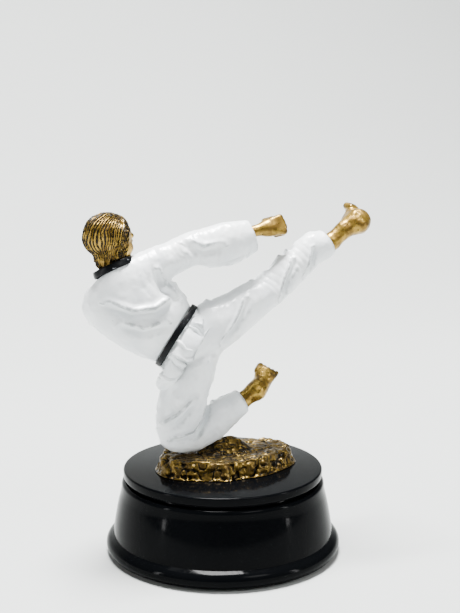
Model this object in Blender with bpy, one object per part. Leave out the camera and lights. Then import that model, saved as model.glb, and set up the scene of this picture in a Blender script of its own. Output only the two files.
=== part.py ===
"""Side-kick figure trophy: a cast resin martial artist pinned to a gilt ground mound on a black plinth.

Run with: blender --background --python part.py
Frame: the origin is the centre of the plinth's underside, +Z is up, +X is the way the leg kicks,
and the figure's chest faces +Y. Sizes are in millimetres and become metres where a mesh is made.
"""

import math

import bmesh
import bpy
from mathutils import Vector

MM = 0.001

# Driving dimensions, in millimetres.
PLINTH_RADIUS = 40.0
PLINTH_HEIGHT = 29.2
GLUE_GAP = 0.3
BORE_CLEARANCE = 0.3
FELT_THICKNESS = 1.0
BELT_WIDTH = 2.6
BELT_THICKNESS = 0.9
WIRE_RADIUS = 0.8
PIN_RADIUS = 0.6
SUPPORT_RADIUS = 1.0

# Height of the plinth's own underside, which stands on the felt.
SEAT_Z = 0.3
LATHE_SIDES = 48
LIMB_SIDES = 16

# The waist: middle of the belt, and the belt's slope in the XZ plane.
WAIST = Vector((-16.1, 0.0, 75.6))
WAIST_SLOPE = math.radians(55.8)
WAIST_HALF = (10.6, 8.0)
# The belt leans forward: it sits lower at the figure's front than at its back. This way points to its front.
WAIST_LEAN = math.radians(20.0)
WAIST_FRONT = Vector((math.sin(WAIST_SLOPE) * math.sin(WAIST_LEAN), math.cos(WAIST_LEAN),
                      -math.cos(WAIST_SLOPE) * math.sin(WAIST_LEAN)))

# Shifts along the body's axis from the middle of the belt.
LEG_TOP_SHIFT = -3.2

# Material name: colour, roughness, metallic.
MATERIALS = {
    "black_gloss": ((0.008, 0.009, 0.010), 0.12, 0.0),
    "felt": ((0.02, 0.02, 0.022), 0.95, 0.0),
    "antique_gold": ((0.46, 0.29, 0.075), 0.35, 0.6),
    "white_paint": ((0.84, 0.85, 0.86), 0.38, 0.0),
    "black_paint": ((0.012, 0.012, 0.014), 0.45, 0.0),
    "steel": ((0.55, 0.55, 0.56), 0.35, 1.0),
}


# ---------------------------------------------------------------- helpers


def clear_scene():
    for old in list(bpy.data.objects):
        bpy.data.objects.remove(old)


def material(name):
    found = bpy.data.materials.get(name)
    if found:
        return found
    colour, roughness, metallic = MATERIALS[name]
    made = bpy.data.materials.new(name)
    made.use_nodes = True
    shader = made.node_tree.nodes["Principled BSDF"]
    shader.inputs["Base Color"].default_value = (*colour, 1.0)
    shader.inputs["Roughness"].default_value = roughness
    shader.inputs["Metallic"].default_value = metallic
    return made


def add_object(name, mesh, finish):
    mesh.materials.append(material(finish))
    mesh.shade_smooth()
    mesh.set_sharp_from_angle(angle=math.radians(40))
    piece = bpy.data.objects.new(name, mesh)
    bpy.context.scene.collection.objects.link(piece)
    return piece


def as_cutter(piece):
    """Keeps a helper solid out of the model."""
    piece.hide_render = True
    piece.display_type = "WIRE"
    return piece


def boolean(piece, other, operation):
    """Adds an exact Boolean with another solid, which becomes a helper."""
    step = piece.modifiers.new(operation.lower(), "BOOLEAN")
    step.operation = operation
    step.solver = "EXACT"
    step.object = as_cutter(other)
    return piece


def cut(piece, *cutters):
    for cutter in cutters:
        boolean(piece, cutter, "DIFFERENCE")
    return piece


def join(piece, *others):
    for other in others:
        boolean(piece, other, "UNION")
    return piece


def catmull_rom(a, b, c, d, t):
    """The curve between b and c, with a and d as their neighbours."""
    return 0.5 * (2 * b + (c - a) * t + (2 * a - 5 * b + 4 * c - d) * t**2 + (3 * b - a - 3 * c + d) * t**3)


def smoothed(stations, per_span):
    """Stations as rows of 3-vectors, with per_span steps between each two on a smooth curve."""
    rows = [stations[0], *stations, stations[-1]]
    made = []
    for i in range(len(stations) - 1):
        for k in range(per_span):
            made.append([catmull_rom(*(rows[i + j][f] for j in range(4)), k / per_span) for f in range(3)])
    made.append(list(stations[-1]))
    return made


def domed(rows, at_end, length):
    """Adds rings that close one end of a loft as a dome of the given length."""
    centre, u, w = rows[-1] if at_end else rows[0]
    inner = rows[-2][0] if at_end else rows[1][0]
    outward = (centre - inner).normalized()
    dome = [
        [centre + outward * length * math.sin(a), u * math.cos(a), w * math.cos(a)]
        for a in (math.radians(30), math.radians(58), math.radians(80))
    ]
    return rows + dome if at_end else dome[::-1] + rows


def loft(name, stations, finish, sides=LIMB_SIDES, per_span=2, grow=0.0, domes=(0.0, 0.0)):
    """A closed tube through oval rings. A station is (centre, half axis u, half axis w).

    grow widens the tube on every side, for a cutter that leaves a glue gap round the piece.
    """
    rows = smoothed(stations, per_span)
    for at_end in (False, True):
        if domes[at_end]:
            rows = domed(rows, at_end, domes[at_end])
    if grow:
        ends = (rows[0][0] - rows[1][0]).normalized(), (rows[-1][0] - rows[-2][0]).normalized()
        rows = [[c, u + u.normalized() * grow, w + w.normalized() * grow] for c, u, w in rows]
        rows[0][0] = rows[0][0] + ends[0] * grow
        rows[-1][0] = rows[-1][0] + ends[1] * grow
    shape = bmesh.new()
    rings = []
    for centre, u, w in rows:
        turn = [math.tau * k / sides for k in range(sides)]
        rings.append([shape.verts.new((centre + u * math.cos(a) + w * math.sin(a)) * MM) for a in turn])
    for low, high in zip(rings, rings[1:]):
        for k in range(sides):
            n = (k + 1) % sides
            shape.faces.new((low[k], low[n], high[n], high[k]))
    shape.faces.new(rings[0][::-1])
    shape.faces.new(rings[-1])
    bmesh.ops.recalc_face_normals(shape, faces=shape.faces)
    mesh = bpy.data.meshes.new(name)
    shape.to_mesh(mesh)
    shape.free()
    return add_object(name, mesh, finish)


def upright_ring(x, y, z, slope_deg, half_u, half_w):
    """An oval ring whose u axis lies in the XZ plane at the given slope, and whose w axis is Y."""
    slope = math.radians(slope_deg)
    u = Vector((math.cos(slope), 0.0, math.sin(slope)))
    return Vector((x, y, z)), u * half_u, Vector((0.0, half_w, 0.0))


def leaning_ring(*place_and_size):
    """An upright ring tipped forward with the waist."""
    centre, u, w = upright_ring(*place_and_size)
    return centre, u, WAIST_FRONT * w.length


def limb(points, halves, across=(0.0, 1.0, 0.0)):
    """Stations along a limb's bones. halves are (half width in the bend's plane, half width across it)."""
    points = [Vector(p) for p in points]
    stations = []
    for i, centre in enumerate(points):
        before, after = points[max(i - 1, 0)], points[min(i + 1, len(points) - 1)]
        along = (after - before).normalized()
        w = Vector(across)
        w = (w - along * w.dot(along)).normalized()
        stations.append((centre, w.cross(along) * halves[i][0], w * halves[i][1]))
    return stations


def rod(name, start, end, radius, finish="steel", sides=12):
    start, end = Vector(start), Vector(end)
    w = (end - start).orthogonal().normalized() * radius
    u = w.cross((end - start).normalized())
    return loft(name, [(start, u, w), (end, u, w)], finish, sides=sides, per_span=1)


def bore(wire_ends, radius):
    """A cutter for the hole that a wire sits in, longer than the wire at both ends."""
    start, end = (Vector(p) for p in wire_ends)
    reach = (end - start).normalized() * BORE_CLEARANCE
    return rod("bore_cutter", start - reach, end + reach, radius + BORE_CLEARANCE)


def arc(centre_r, centre_z, radius, start_deg, end_deg, steps):
    """Points of a lathe profile on an arc, as (r, z)."""
    angles = (math.radians(start_deg + (end_deg - start_deg) * k / steps) for k in range(steps + 1))
    return [(centre_r + radius * math.cos(a), centre_z + radius * math.sin(a)) for a in angles]


def lathe(name, profile, finish, sides=LATHE_SIDES, centre=(0.0, 0.0)):
    """Turns a closed (r, z) profile round the vertical axis. A profile point on the axis becomes one vertex."""
    shape = bmesh.new()
    rings = []
    for r, z in profile:
        turn = [math.tau * k / sides for k in range(sides if r > 1e-6 else 1)]
        spots = [(centre[0] + r * math.cos(a), centre[1] + r * math.sin(a), z) for a in turn]
        rings.append([shape.verts.new(Vector(p) * MM) for p in spots])
    closed = all(r > 1e-6 for r, z in profile)
    for low, high in zip(rings, rings[1:] + (rings[:1] if closed else [])):
        for k in range(sides):
            n = (k + 1) % sides
            corners = [low[k % len(low)], low[n % len(low)], high[n % len(high)], high[k % len(high)]]
            shape.faces.new(list(dict.fromkeys(corners)))
    bmesh.ops.recalc_face_normals(shape, faces=shape.faces)
    mesh = bpy.data.meshes.new(name)
    shape.to_mesh(mesh)
    shape.free()
    return add_object(name, mesh, finish)


# ---------------------------------------------------------------- armature wires

# Each wire: its two ends. They are the bones that hold the castings together.
SUPPORT_ROD = ((-15.5, -1.0, 31.5), (-12.6, 0.0, 68.0))
SPINE_WIRE = ((-12.8, 0.0, 73.3), (-26.8, 0.0, 83.8))
NECK_WIRE = ((-34.2, 0.5, 92.4), (-37.8, 1.0, 107.5))
RIGHT_ARM_WIRE = ((-30.5, 0.0, 96.6), (17.5, 1.0, 109.5))
KICK_LEG_WIRE = ((-7.5, 0.0, 76.4), (46.0, 1.0, 107.6))
LEFT_SHOULDER_PIN = ((-38.5, -0.5, 90.5), (-40.2, 8.0, 84.2))
LEFT_WRIST_PIN = ((-31.2, 13.4, 84.9), (-25.2, 15.3, 89.9))
ANKLE_PIN = ((3.0, 0.4, 48.0), (11.5, 0.0, 56.0))


def armature():
    wires = {
        "support_rod": (SUPPORT_ROD, SUPPORT_RADIUS),
        "spine_wire": (SPINE_WIRE, WIRE_RADIUS),
        "neck_wire": (NECK_WIRE, WIRE_RADIUS),
        "right_arm_wire": (RIGHT_ARM_WIRE, WIRE_RADIUS),
        "kick_leg_wire": (KICK_LEG_WIRE, WIRE_RADIUS),
        "left_shoulder_pin": (LEFT_SHOULDER_PIN, PIN_RADIUS),
        "left_wrist_pin": (LEFT_WRIST_PIN, PIN_RADIUS),
        "tucked_ankle_pin": (ANKLE_PIN, PIN_RADIUS),
    }
    for name, (ends, radius) in wires.items():
        rod(name, *ends, radius)


# ---------------------------------------------------------------- plinth and its fasteners

SCREW_XY = (3.0, -1.0)
DOWEL_XY = (-9.0, 3.0)
SCREW_RADIUS = 1.9
SCREW_TOP = 33.0
HEAD_RADIUS = 3.6
HEAD_HEIGHT = 2.4
WASHER_RADIUS = 5.2
WASHER_THICKNESS = 1.0
POCKET_RADIUS = 6.5
POCKET_DEPTH = 9.0
DOWEL_RADIUS = 1.5
DOWEL_SPAN = (22.0, 32.5)
FELT_RADIUS = 35.5
FELT_RECESS_ROOF = 1.3


def plinth_profile():
    """From the felt recess out over the foot bead, up the belled wall, and over the top disc."""
    foot_bead = arc(PLINTH_RADIUS - 3.0, 3.3, 3.0, -90, 62, 6)
    foot_bead[0] = (foot_bead[0][0], SEAT_Z)
    wall = [(37.5, 6.6), (37.2, 10.0), (36.3, 15.5), (35.2, 20.0)]
    shoulder = arc(33.0, 23.6, 1.4, 8, 88, 2)
    groove = [(32.4, 25.2), (32.3, 26.0), (33.0, 26.35)]
    disc_edge = [(33.9, 27.0), *arc(33.1, PLINTH_HEIGHT - 0.9, 0.9, 0, 90, 3)]
    return [
        (0.0, FELT_RECESS_ROOF),
        (FELT_RADIUS + GLUE_GAP, FELT_RECESS_ROOF),
        (FELT_RADIUS + GLUE_GAP, SEAT_Z),
        *foot_bead,
        *wall,
        *shoulder,
        *groove,
        *disc_edge,
        (0.0, PLINTH_HEIGHT),
    ]


def drum(name, radius, low, high, finish="steel", centre=(0.0, 0.0), sides=32):
    """A plain round block standing between two heights."""
    return lathe(name, [(0.0, low), (radius, low), (radius, high), (0.0, high)], finish, sides, centre)


def pan_screw():
    """A pan-head screw with a cross recess, its head down in the plinth's pocket."""
    head_top = FELT_RECESS_ROOF + POCKET_DEPTH - WASHER_THICKNESS - 2 * GLUE_GAP
    head_low = head_top - HEAD_HEIGHT
    profile = [
        (0.0, head_low),
        (HEAD_RADIUS * 0.55, head_low),
        (HEAD_RADIUS * 0.9, head_low + HEAD_HEIGHT * 0.3),
        (HEAD_RADIUS, head_low + HEAD_HEIGHT * 0.7),
        (HEAD_RADIUS, head_top),
        (SCREW_RADIUS, head_top),
        (SCREW_RADIUS, SCREW_TOP - SCREW_RADIUS),
        (0.0, SCREW_TOP),
    ]
    screw = lathe("base_screw", profile, "steel", 24, SCREW_XY)
    x, y = SCREW_XY
    recess_z = head_low + 0.3
    for slot in ((2.0, 0.0), (0.0, 2.0)):
        ends = [Vector((x + s * slot[0], y + s * slot[1], recess_z)) for s in (-1, 1)]
        side = (ends[1] - ends[0]).cross(Vector((0, 0, 1))).normalized() * 0.55
        arm = loft("recess_cutter", [(e, side, Vector((0, 0, 1.1))) for e in ends], "steel", 8, 1)
        cut(screw, arm)
    return head_top


def plinth_group():
    plinth = lathe("plinth", plinth_profile(), "black_gloss")
    pocket_roof = FELT_RECESS_ROOF + POCKET_DEPTH
    cut(
        plinth,
        drum("pocket_cutter", POCKET_RADIUS, -1.0, pocket_roof, centre=SCREW_XY),
        drum("screw_hole_cutter", SCREW_RADIUS + GLUE_GAP, 5.0, PLINTH_HEIGHT + 2, centre=SCREW_XY),
        drum("dowel_hole_cutter", DOWEL_RADIUS + GLUE_GAP, DOWEL_SPAN[0] - GLUE_GAP, 40.0, centre=DOWEL_XY),
    )
    drum("felt_pad", FELT_RADIUS, 0.0, FELT_THICKNESS, "felt", sides=LATHE_SIDES)
    head_top = pan_screw()
    low, high = head_top + GLUE_GAP, head_top + GLUE_GAP + WASHER_THICKNESS
    inner = SCREW_RADIUS + GLUE_GAP
    ring = [(inner, low), (WASHER_RADIUS, low), (WASHER_RADIUS, high), (inner, high)]
    lathe("base_washer", ring, "steel", 32, SCREW_XY)
    drum("base_dowel", DOWEL_RADIUS, *DOWEL_SPAN, centre=DOWEL_XY, sides=20)


# ---------------------------------------------------------------- ground mound

MOUND_CENTRE = (-0.6, -1.4)
MOUND_HALF = (24.2, 15.0)
MOUND_TOP = 35.0
MOUND_SECTORS = 36


def mound_edge(angle):
    """Half width of the mound's outline at an angle, a slightly lumpy oval."""
    oval = 1.0 / math.hypot(math.cos(angle) / MOUND_HALF[0], math.sin(angle) / MOUND_HALF[1])
    return oval * (1.0 + 0.025 * math.sin(3 * angle + 0.6) + 0.018 * math.sin(7 * angle + 2.0))


def mound_height(x, y):
    """The mound's top: nearly flat, sinking to the left end, with a ridge under the tucked shin."""
    sink = 1.6 / (1.0 + math.exp((x + 20.5) / 1.2))
    ripple = 0.35 * math.sin(0.55 * x + 0.8) * math.cos(0.5 * y)
    along = max(0.0, 1.0 - ((x + 2.0) / 11.0) ** 2)
    ridge = 4.6 * along * math.exp(-(((y + 1.0 - 0.1 * x) / 5.2) ** 2)) * (0.75 + 0.035 * (x + 2.0))
    return MOUND_TOP - sink + ripple + ridge


def mound(tucked_leg_cutter):
    """Rings from the outline's foot up the wall, then inward over the top."""
    base = PLINTH_HEIGHT + GLUE_GAP
    wall = [(0.97, 0.0), (1.0, 0.16), (0.985, 0.55), (0.955, 0.82), (0.90, 0.97)]
    top = (0.80, 0.66, 0.50, 0.34, 0.17)
    shape = bmesh.new()
    rings = []
    for share, rise in [*wall, *((t, None) for t in top)]:
        ring = []
        for k in range(MOUND_SECTORS):
            a = math.tau * k / MOUND_SECTORS
            x = MOUND_CENTRE[0] + mound_edge(a) * share * math.cos(a)
            y = MOUND_CENTRE[1] + mound_edge(a) * share * math.sin(a)
            full = mound_height(x, y)
            z = full if rise is None else base + (full - base) * rise
            ring.append(shape.verts.new(Vector((x, y, z)) * MM))
        rings.append(ring)
    for low, high in zip(rings, rings[1:]):
        for k in range(MOUND_SECTORS):
            n = (k + 1) % MOUND_SECTORS
            shape.faces.new((low[k], low[n], high[n], high[k]))
    shape.faces.new(rings[0][::-1])
    middle = shape.verts.new(Vector((*MOUND_CENTRE, mound_height(*MOUND_CENTRE))) * MM)
    for k in range(MOUND_SECTORS):
        shape.faces.new((rings[-1][k], rings[-1][(k + 1) % MOUND_SECTORS], middle))
    bmesh.ops.recalc_face_normals(shape, faces=shape.faces)
    mesh = bpy.data.meshes.new("mound")
    shape.to_mesh(mesh)
    shape.free()
    body = add_object("mound", mesh, "antique_gold")
    cut(
        body,
        tucked_leg_cutter,
        bore(SUPPORT_ROD, SUPPORT_RADIUS),
        drum("pilot_cutter", SCREW_RADIUS + GLUE_GAP, 20.0, SCREW_TOP + GLUE_GAP, centre=SCREW_XY),
        drum("dowel_cutter", DOWEL_RADIUS + GLUE_GAP, 20.0, DOWEL_SPAN[1] + GLUE_GAP, centre=DOWEL_XY),
    )


# ---------------------------------------------------------------- trousers and feet

SEAT = [
    leaning_ring(-15.8, 0.0, 75.4, 55.8, 9.2, 6.6),
    leaning_ring(-13.9, 0.0, 74.1, 55.4, 9.3, 7.0),
    leaning_ring(-10.9, 0.0, 71.5, 54.0, 10.9, 8.8),
    leaning_ring(-8.3, 0.0, 69.6, 52.0, 9.6, 8.2),
    leaning_ring(-6.2, 0.0, 67.9, 50.0, 6.6, 6.4),
]
KICK_LEG = limb(
    [(-6.2, 0, 75.4), (-1.6, 0, 77.6), (4.0, 0, 81.7), (11.5, 0, 86.0), (18.7, 0, 90.3), (25.2, 0.2, 95.9),
     (31.4, 0.5, 101.5), (37.2, 0.8, 103.7)],
    [(8.6, 7.6), (8.8, 7.9), (7.5, 7.2), (6.7, 6.6), (6.1, 6.0), (5.9, 5.7), (5.3, 5.2), (4.4, 4.4)],
)
TUCKED_THIGH = limb(
    [(-10.6, 0, 67.2), (-12.6, 0, 60.5), (-14.6, -0.2, 53.5), (-16.2, -0.5, 46.6), (-16.0, -0.8, 40.4)],
    [(9.2, 8.0), (9.4, 8.0), (8.1, 7.4), (7.4, 7.0), (6.4, 6.4)],
)
TUCKED_SHIN = limb(
    [(-16.0, -0.8, 41.8), (-10.6, -0.5, 42.4), (-4.6, 0, 45.0), (1.4, 0.3, 49.0), (7.0, 0.4, 51.6)],
    [(6.0, 6.0), (6.6, 6.2), (5.9, 5.8), (5.1, 5.0), (3.7, 3.8)],
)
FOOT_LENGTH = 16.5
KICK_SHANK = limb(
    [(36.8, 0.8, 103.9), (41.5, 0.9, 105.6), (45.6, 1.0, 108.2), (48.6, 1.2, 110.2)],
    [(2.6, 2.5), (2.4, 2.2), (3.0, 2.7), (2.8, 2.6)],
)
TUCKED_SHANK = limb(
    [(6.2, 0.4, 51.0), (9.0, 0.3, 53.5), (11.6, 0.1, 56.0)],
    [(2.7, 2.6), (2.5, 2.4), (2.6, 2.4)],
)


def foot_stations(heel, toe_way, sole_way, length):
    """Rings from the heel to the toes. toe_way and sole_way are directions; the rings' u axis is the sole's."""
    toe_way = Vector(toe_way).normalized()
    sole = Vector(sole_way)
    sole = (sole - toe_way * sole.dot(toe_way)).normalized()
    side = toe_way.cross(sole)
    # Share of the length, height off the sole line, half thickness, half width.
    plan = [(0.0, 0.0, 1.5, 1.7), (0.14, 0.2, 2.5, 2.5), (0.36, 0.9, 2.7, 2.6), (0.62, 0.5, 1.9, 3.1),
            (0.80, 0.0, 1.5, 3.6), (0.94, -0.3, 1.1, 3.3), (1.0, -0.3, 0.6, 2.4)]
    return [(Vector(heel) + toe_way * length * s - sole * off, sole * thick, side * wide)
            for s, off, thick, wide in plan]


KICK_HEEL = (49.6, -1.4, 108.9)
KICK_TOE_WAY = (-0.06, 0.97, 0.20)
KICK_SOLE_WAY = (0.94, 0.0, 0.34)
TUCKED_HEEL = (9.6, -1.4, 55.2)
TUCKED_TOE_WAY = (0.62, 0.42, 0.66)
TUCKED_SOLE_WAY = (-0.30, -0.62, 0.72)
TUCKED_FOOT_LENGTH = 13.0


def foot(name, shank, heel, toe_way, sole_way, length, wire):
    stations = foot_stations(heel, toe_way, sole_way, length)
    piece = loft(name, shank, "antique_gold", sides=14, domes=(0.0, 1.2))
    join(piece, loft("foot_blank", stations, "antique_gold", sides=16, per_span=2))
    return cut(piece, bore(*wire))


def seat_cutter():
    return loft("seat_cutter", SEAT, "white_paint", grow=GLUE_GAP, domes=(0.0, 1.5))


def below_waist(leg, grow):
    """Keeps a leg below the skirt's waistband, so the band stays whole all round."""
    block = [waist_ring(s, 30.0, 30.0) for s in (LEG_TOP_SHIFT + grow, 40.0)]
    return cut(leg, loft("waist_block_cutter", block, "white_paint", per_span=1))


def kick_leg_solid(name, grow=0.0):
    leg = loft(name, KICK_LEG, "white_paint", grow=grow, domes=(4.0, 0.0))
    return below_waist(leg, grow)


def tucked_leg_solid(name, grow=0.0):
    thigh = loft(name, TUCKED_THIGH, "white_paint", grow=grow, domes=(3.5, 5.2))
    join(thigh, loft(name + "_shin", TUCKED_SHIN, "white_paint", grow=grow, domes=(3.5, 0.0)))
    return below_waist(thigh, grow)


def socket(shank):
    """The recess in a trouser cuff that a foot's shank plugs into."""
    return loft("socket_cutter", shank, "white_paint", sides=14, grow=GLUE_GAP)


def trousers():
    seat = loft("trouser_seat", SEAT, "white_paint", domes=(0.0, 1.5))
    cut(seat, bore(SPINE_WIRE, WIRE_RADIUS), bore(SUPPORT_ROD, SUPPORT_RADIUS), bore(KICK_LEG_WIRE, WIRE_RADIUS))

    kick = kick_leg_solid("kick_leg_trouser")
    cut(kick, seat_cutter(), socket(KICK_SHANK), bore(KICK_LEG_WIRE, WIRE_RADIUS))

    tucked = tucked_leg_solid("tucked_leg_trouser")
    cut(tucked, seat_cutter(), kick_leg_solid("kick_cutter", GLUE_GAP), socket(TUCKED_SHANK))
    cut(tucked, bore(SUPPORT_ROD, SUPPORT_RADIUS), bore(ANKLE_PIN, PIN_RADIUS))

    foot("kick_foot", KICK_SHANK, KICK_HEEL, KICK_TOE_WAY, KICK_SOLE_WAY, FOOT_LENGTH,
         (KICK_LEG_WIRE, WIRE_RADIUS))
    foot("tucked_foot", TUCKED_SHANK, TUCKED_HEEL, TUCKED_TOE_WAY, TUCKED_SOLE_WAY, TUCKED_FOOT_LENGTH,
         (ANKLE_PIN, PIN_RADIUS))


# ---------------------------------------------------------------- jacket, belt and collar

TORSO = [
    leaning_ring(-16.9, 0.0, 76.2, 55.8, 10.2, 7.7),
    leaning_ring(-19.8, 0.1, 78.2, 50.0, 11.6, 8.5),
    upright_ring(-25.0, 0.3, 82.0, 41.0, 13.2, 9.2),
    upright_ring(-30.6, 0.4, 87.0, 34.0, 13.9, 9.0),
    upright_ring(-34.4, 0.4, 92.6, 31.0, 13.0, 7.8),
    upright_ring(-36.2, 0.5, 96.4, 29.0, 9.4, 6.4),
    upright_ring(-36.9, 0.5, 98.0, 27.0, 5.6, 5.0),
]
RIGHT_ARM = limb(
    [(-27.0, 0, 97.4), (-19.0, 0, 100.4), (-10.0, 0, 103.4), (-2.5, 0.3, 104.6), (4.5, 0.6, 105.6), (11.6, 0.8, 107.2)],
    [(6.4, 5.6), (6.2, 5.5), (6.0, 5.2), (7.0, 5.2), (7.2, 5.0), (5.2, 4.4)],
)
LEFT_UPPER_ARM = limb(
    [(-40.6, 1.0, 90.5), (-40.8, 5.0, 85.0), (-39.4, 8.2, 80.6)],
    [(5.6, 5.2), (5.4, 5.2), (5.0, 4.9)],
)
LEFT_FOREARM = limb(
    [(-38.2, 9.4, 79.2), (-34.0, 12.2, 82.4), (-29.0, 14.2, 86.6)],
    [(5.0, 4.9), (5.0, 4.8), (4.4, 4.4)],
)
COLLAR_CENTRE = (-37.0, 0.5, 98.6)
COLLAR_SLOPE = 28.5


def waist_ring(shift, half_u, half_w, hang=0.0):
    """A ring parallel to the belt, moved up the body's axis by shift and towards its low end by hang."""
    up = Vector((-math.sin(WAIST_SLOPE), 0.0, math.cos(WAIST_SLOPE)))
    along = Vector((math.cos(WAIST_SLOPE), 0.0, math.sin(WAIST_SLOPE)))
    return WAIST + up * shift - along * hang, along * half_u, WAIST_FRONT * half_w


# The body's lower end, just above the skirt's top.
TORSO_FOOT_SHIFT = -0.1


def torso_solid(name, grow=0.0):
    """The body above the belt, cut off square at the waist."""
    body = loft(name, TORSO, "white_paint", sides=20, grow=grow)
    block = [waist_ring(s, 30.0, 30.0) for s in (-40.0, TORSO_FOOT_SHIFT - grow)]
    return cut(body, loft(name + "_foot_block", block, "white_paint", per_span=1))


def belt_band(name, inner, outer, half_width, grow=0.0):
    """A band round the waist: an outer oval block with an inner oval taken out."""
    outside = [waist_ring(s * (half_width + grow), WAIST_HALF[0] + outer + grow, WAIST_HALF[1] + outer + grow)
               for s in (-1, 1)]
    band = loft(name, outside, "black_paint", sides=32, per_span=1)
    if grow:
        return band
    inside = [waist_ring(s * half_width * 2, WAIST_HALF[0] + inner, WAIST_HALF[1] + inner) for s in (-1, 1)]
    return cut(band, loft("belt_core_cutter", inside, "black_paint", sides=32, per_span=1))


def belt_channel():
    """Clears the jacket from where the belt runs, down to the waist's own oval."""
    half = BELT_WIDTH / 2 + GLUE_GAP
    outside = [waist_ring(s * half, WAIST_HALF[0] + 6.0, WAIST_HALF[1] + 6.0) for s in (-1, 1)]
    inside = [waist_ring(s * half * 2, *WAIST_HALF) for s in (-1, 1)]
    ring = loft("belt_channel_cutter", outside, "black_paint", sides=32, per_span=1)
    return cut(ring, loft("belt_channel_core", inside, "black_paint", sides=32, per_span=1))


def belt_cutter():
    return belt_band("belt_cutter", 0.0, BELT_THICKNESS, BELT_WIDTH / 2, GLUE_GAP)


SKIRT_OUTER = [
    waist_ring(-0.4, 10.6, 8.0),
    waist_ring(-1.5, 10.6, 8.0),
    waist_ring(-2.4, 12.0, 9.0, 0.4),
    waist_ring(-4.6, 14.2, 10.2, 2.2),
    waist_ring(-6.6, 14.4, 10.8, 1.9),
    waist_ring(-8.8, 14.3, 11.2, 1.3),
]
SKIRT_CLOTH = 0.9


def skirt():
    """The jacket's flared skirt: a shell, cut clear of the seat and of both legs."""
    shell = loft("jacket_skirt", SKIRT_OUTER, "white_paint", sides=28, per_span=1)
    hollow = [(c, u * (1 - SKIRT_CLOTH / u.length), w * (1 - SKIRT_CLOTH / w.length)) for c, u, w in SKIRT_OUTER]
    down = (hollow[-1][0] - hollow[0][0]).normalized()
    hollow[0] = (hollow[0][0] - down, *hollow[0][1:])
    hollow[-1] = (hollow[-1][0] + down, *hollow[-1][1:])
    cut(shell, loft("skirt_hollow_cutter", hollow, "white_paint", sides=28, per_span=1))
    cut(shell, kick_leg_solid("skirt_leg_cutter", GLUE_GAP), tucked_leg_solid("skirt_thigh_cutter", GLUE_GAP))
    return shell


# The neckband's two front runs, from the neck's sides to where they cross above the belt.
LAPEL_RUNS = (
    [(-33.2, 4.6, 100.2), (-31.6, 7.8, 95.4), (-29.4, 9.4, 88.4), (-26.4, 9.5, 81.8), (-22.4, 9.0, 76.6)],
    [(-40.6, 4.6, 96.2), (-37.6, 8.0, 91.6), (-32.4, 9.5, 86.6), (-25.6, 9.5, 82.6), (-19.8, 8.9, 80.2)],
)


def lapel_solid(run, name, grow=0.0):
    points = LAPEL_RUNS[run]
    stations = limb(points, [(1.7, 1.1)] * len(points))
    return loft(name, stations, "black_paint", sides=8, per_span=1, grow=grow)


def right_arm_solid(name, grow=0.0):
    return loft(name, RIGHT_ARM, "white_paint", domes=(3.0, 0.0), grow=grow)


def jacket():
    body = torso_solid("jacket_body")
    cut(body, bore(SPINE_WIRE, WIRE_RADIUS), bore(NECK_WIRE, WIRE_RADIUS), bore(RIGHT_ARM_WIRE, WIRE_RADIUS))
    cut(body, bore(LEFT_SHOULDER_PIN, PIN_RADIUS), neck_solid("neck_socket_cutter", GLUE_GAP))
    cut(body, skull("jacket_skull_cutter", GLUE_GAP), belt_channel())

    right = right_arm_solid("right_sleeve")
    cut(right, torso_solid("torso_cutter", GLUE_GAP), bore(RIGHT_ARM_WIRE, WIRE_RADIUS))
    cut(right, wrist_solid(RIGHT_HAND, "right_wrist_cutter", GLUE_GAP))

    left = loft("left_sleeve", LEFT_UPPER_ARM, "white_paint", domes=(3.0, 3.0))
    join(left, loft("left_forearm_blank", LEFT_FOREARM, "white_paint", domes=(3.0, 0.0)))
    cut(left, torso_solid("torso_cutter_2", GLUE_GAP), bore(LEFT_SHOULDER_PIN, PIN_RADIUS))
    cut(left, bore(LEFT_WRIST_PIN, PIN_RADIUS))
    cut(left, wrist_solid(LEFT_HAND, "left_wrist_cutter", GLUE_GAP))
    cut(left, lapel_solid(0, "lapel_cutter_0", GLUE_GAP), lapel_solid(1, "lapel_cutter_1", GLUE_GAP))


# ---------------------------------------------------------------- head and hands

HEAD_YAW = math.radians(22.0)
HEAD_CENTRE = Vector((-38.4, 1.2, 108.0))
NECK = [
    upright_ring(-36.6, 0.6, 95.6, 20.0, 3.4, 3.4),
    upright_ring(-37.4, 0.9, 99.5, 16.0, 3.5, 3.4),
    upright_ring(-38.4, 0.9, 103.0, 12.0, 3.7, 3.5),
]
# Rings from under the jaw to the crown: height from the head's middle, forward shift, half depth, half width.
HEAD_RINGS = [(-8.6, 2.6, 3.4, 2.9), (-7.0, 1.6, 5.6, 4.6), (-4.4, 0.8, 6.9, 5.7), (-1.2, 0.2, 7.7, 6.5),
              (2.2, -0.2, 8.1, 6.9), (5.2, -0.4, 7.3, 6.2), (7.6, -0.6, 4.9, 4.2), (8.8, -0.6, 2.0, 1.8)]
# A hand: the middle of its fist, the way its forearm points, and how far the wrist runs back into the cuff.
RIGHT_HAND = (Vector((19.0, 1.0, 109.7)), Vector((0.985, 0.0, 0.17)), 10.5)
LEFT_HAND = (Vector((-24.5, 15.5, 90.5)), Vector((0.743, 0.229, 0.629)), 7.5)
# Rings of a fist along the forearm's line: distance from the fist's middle, half height, half width.
FIST_RINGS = [(-5.4, 2.0, 2.1), (-3.2, 2.8, 2.7), (-0.4, 3.5, 3.2), (2.2, 3.3, 3.0), (3.6, 2.1, 2.0)]


def straight(hand, spots):
    centre, way, _ = hand
    return limb([centre + way * s for s, _, _ in spots], [(high, wide) for _, high, wide in spots])


def wrist_solid(hand, name, grow=0.0):
    reach = hand[2]
    rings = [(-reach, 1.9, 1.9), (-reach / 2, 1.9, 2.0), (-2.0, 2.2, 2.3)]
    return loft(name, straight(hand, rings), "antique_gold", sides=14, per_span=1, grow=grow)


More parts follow.
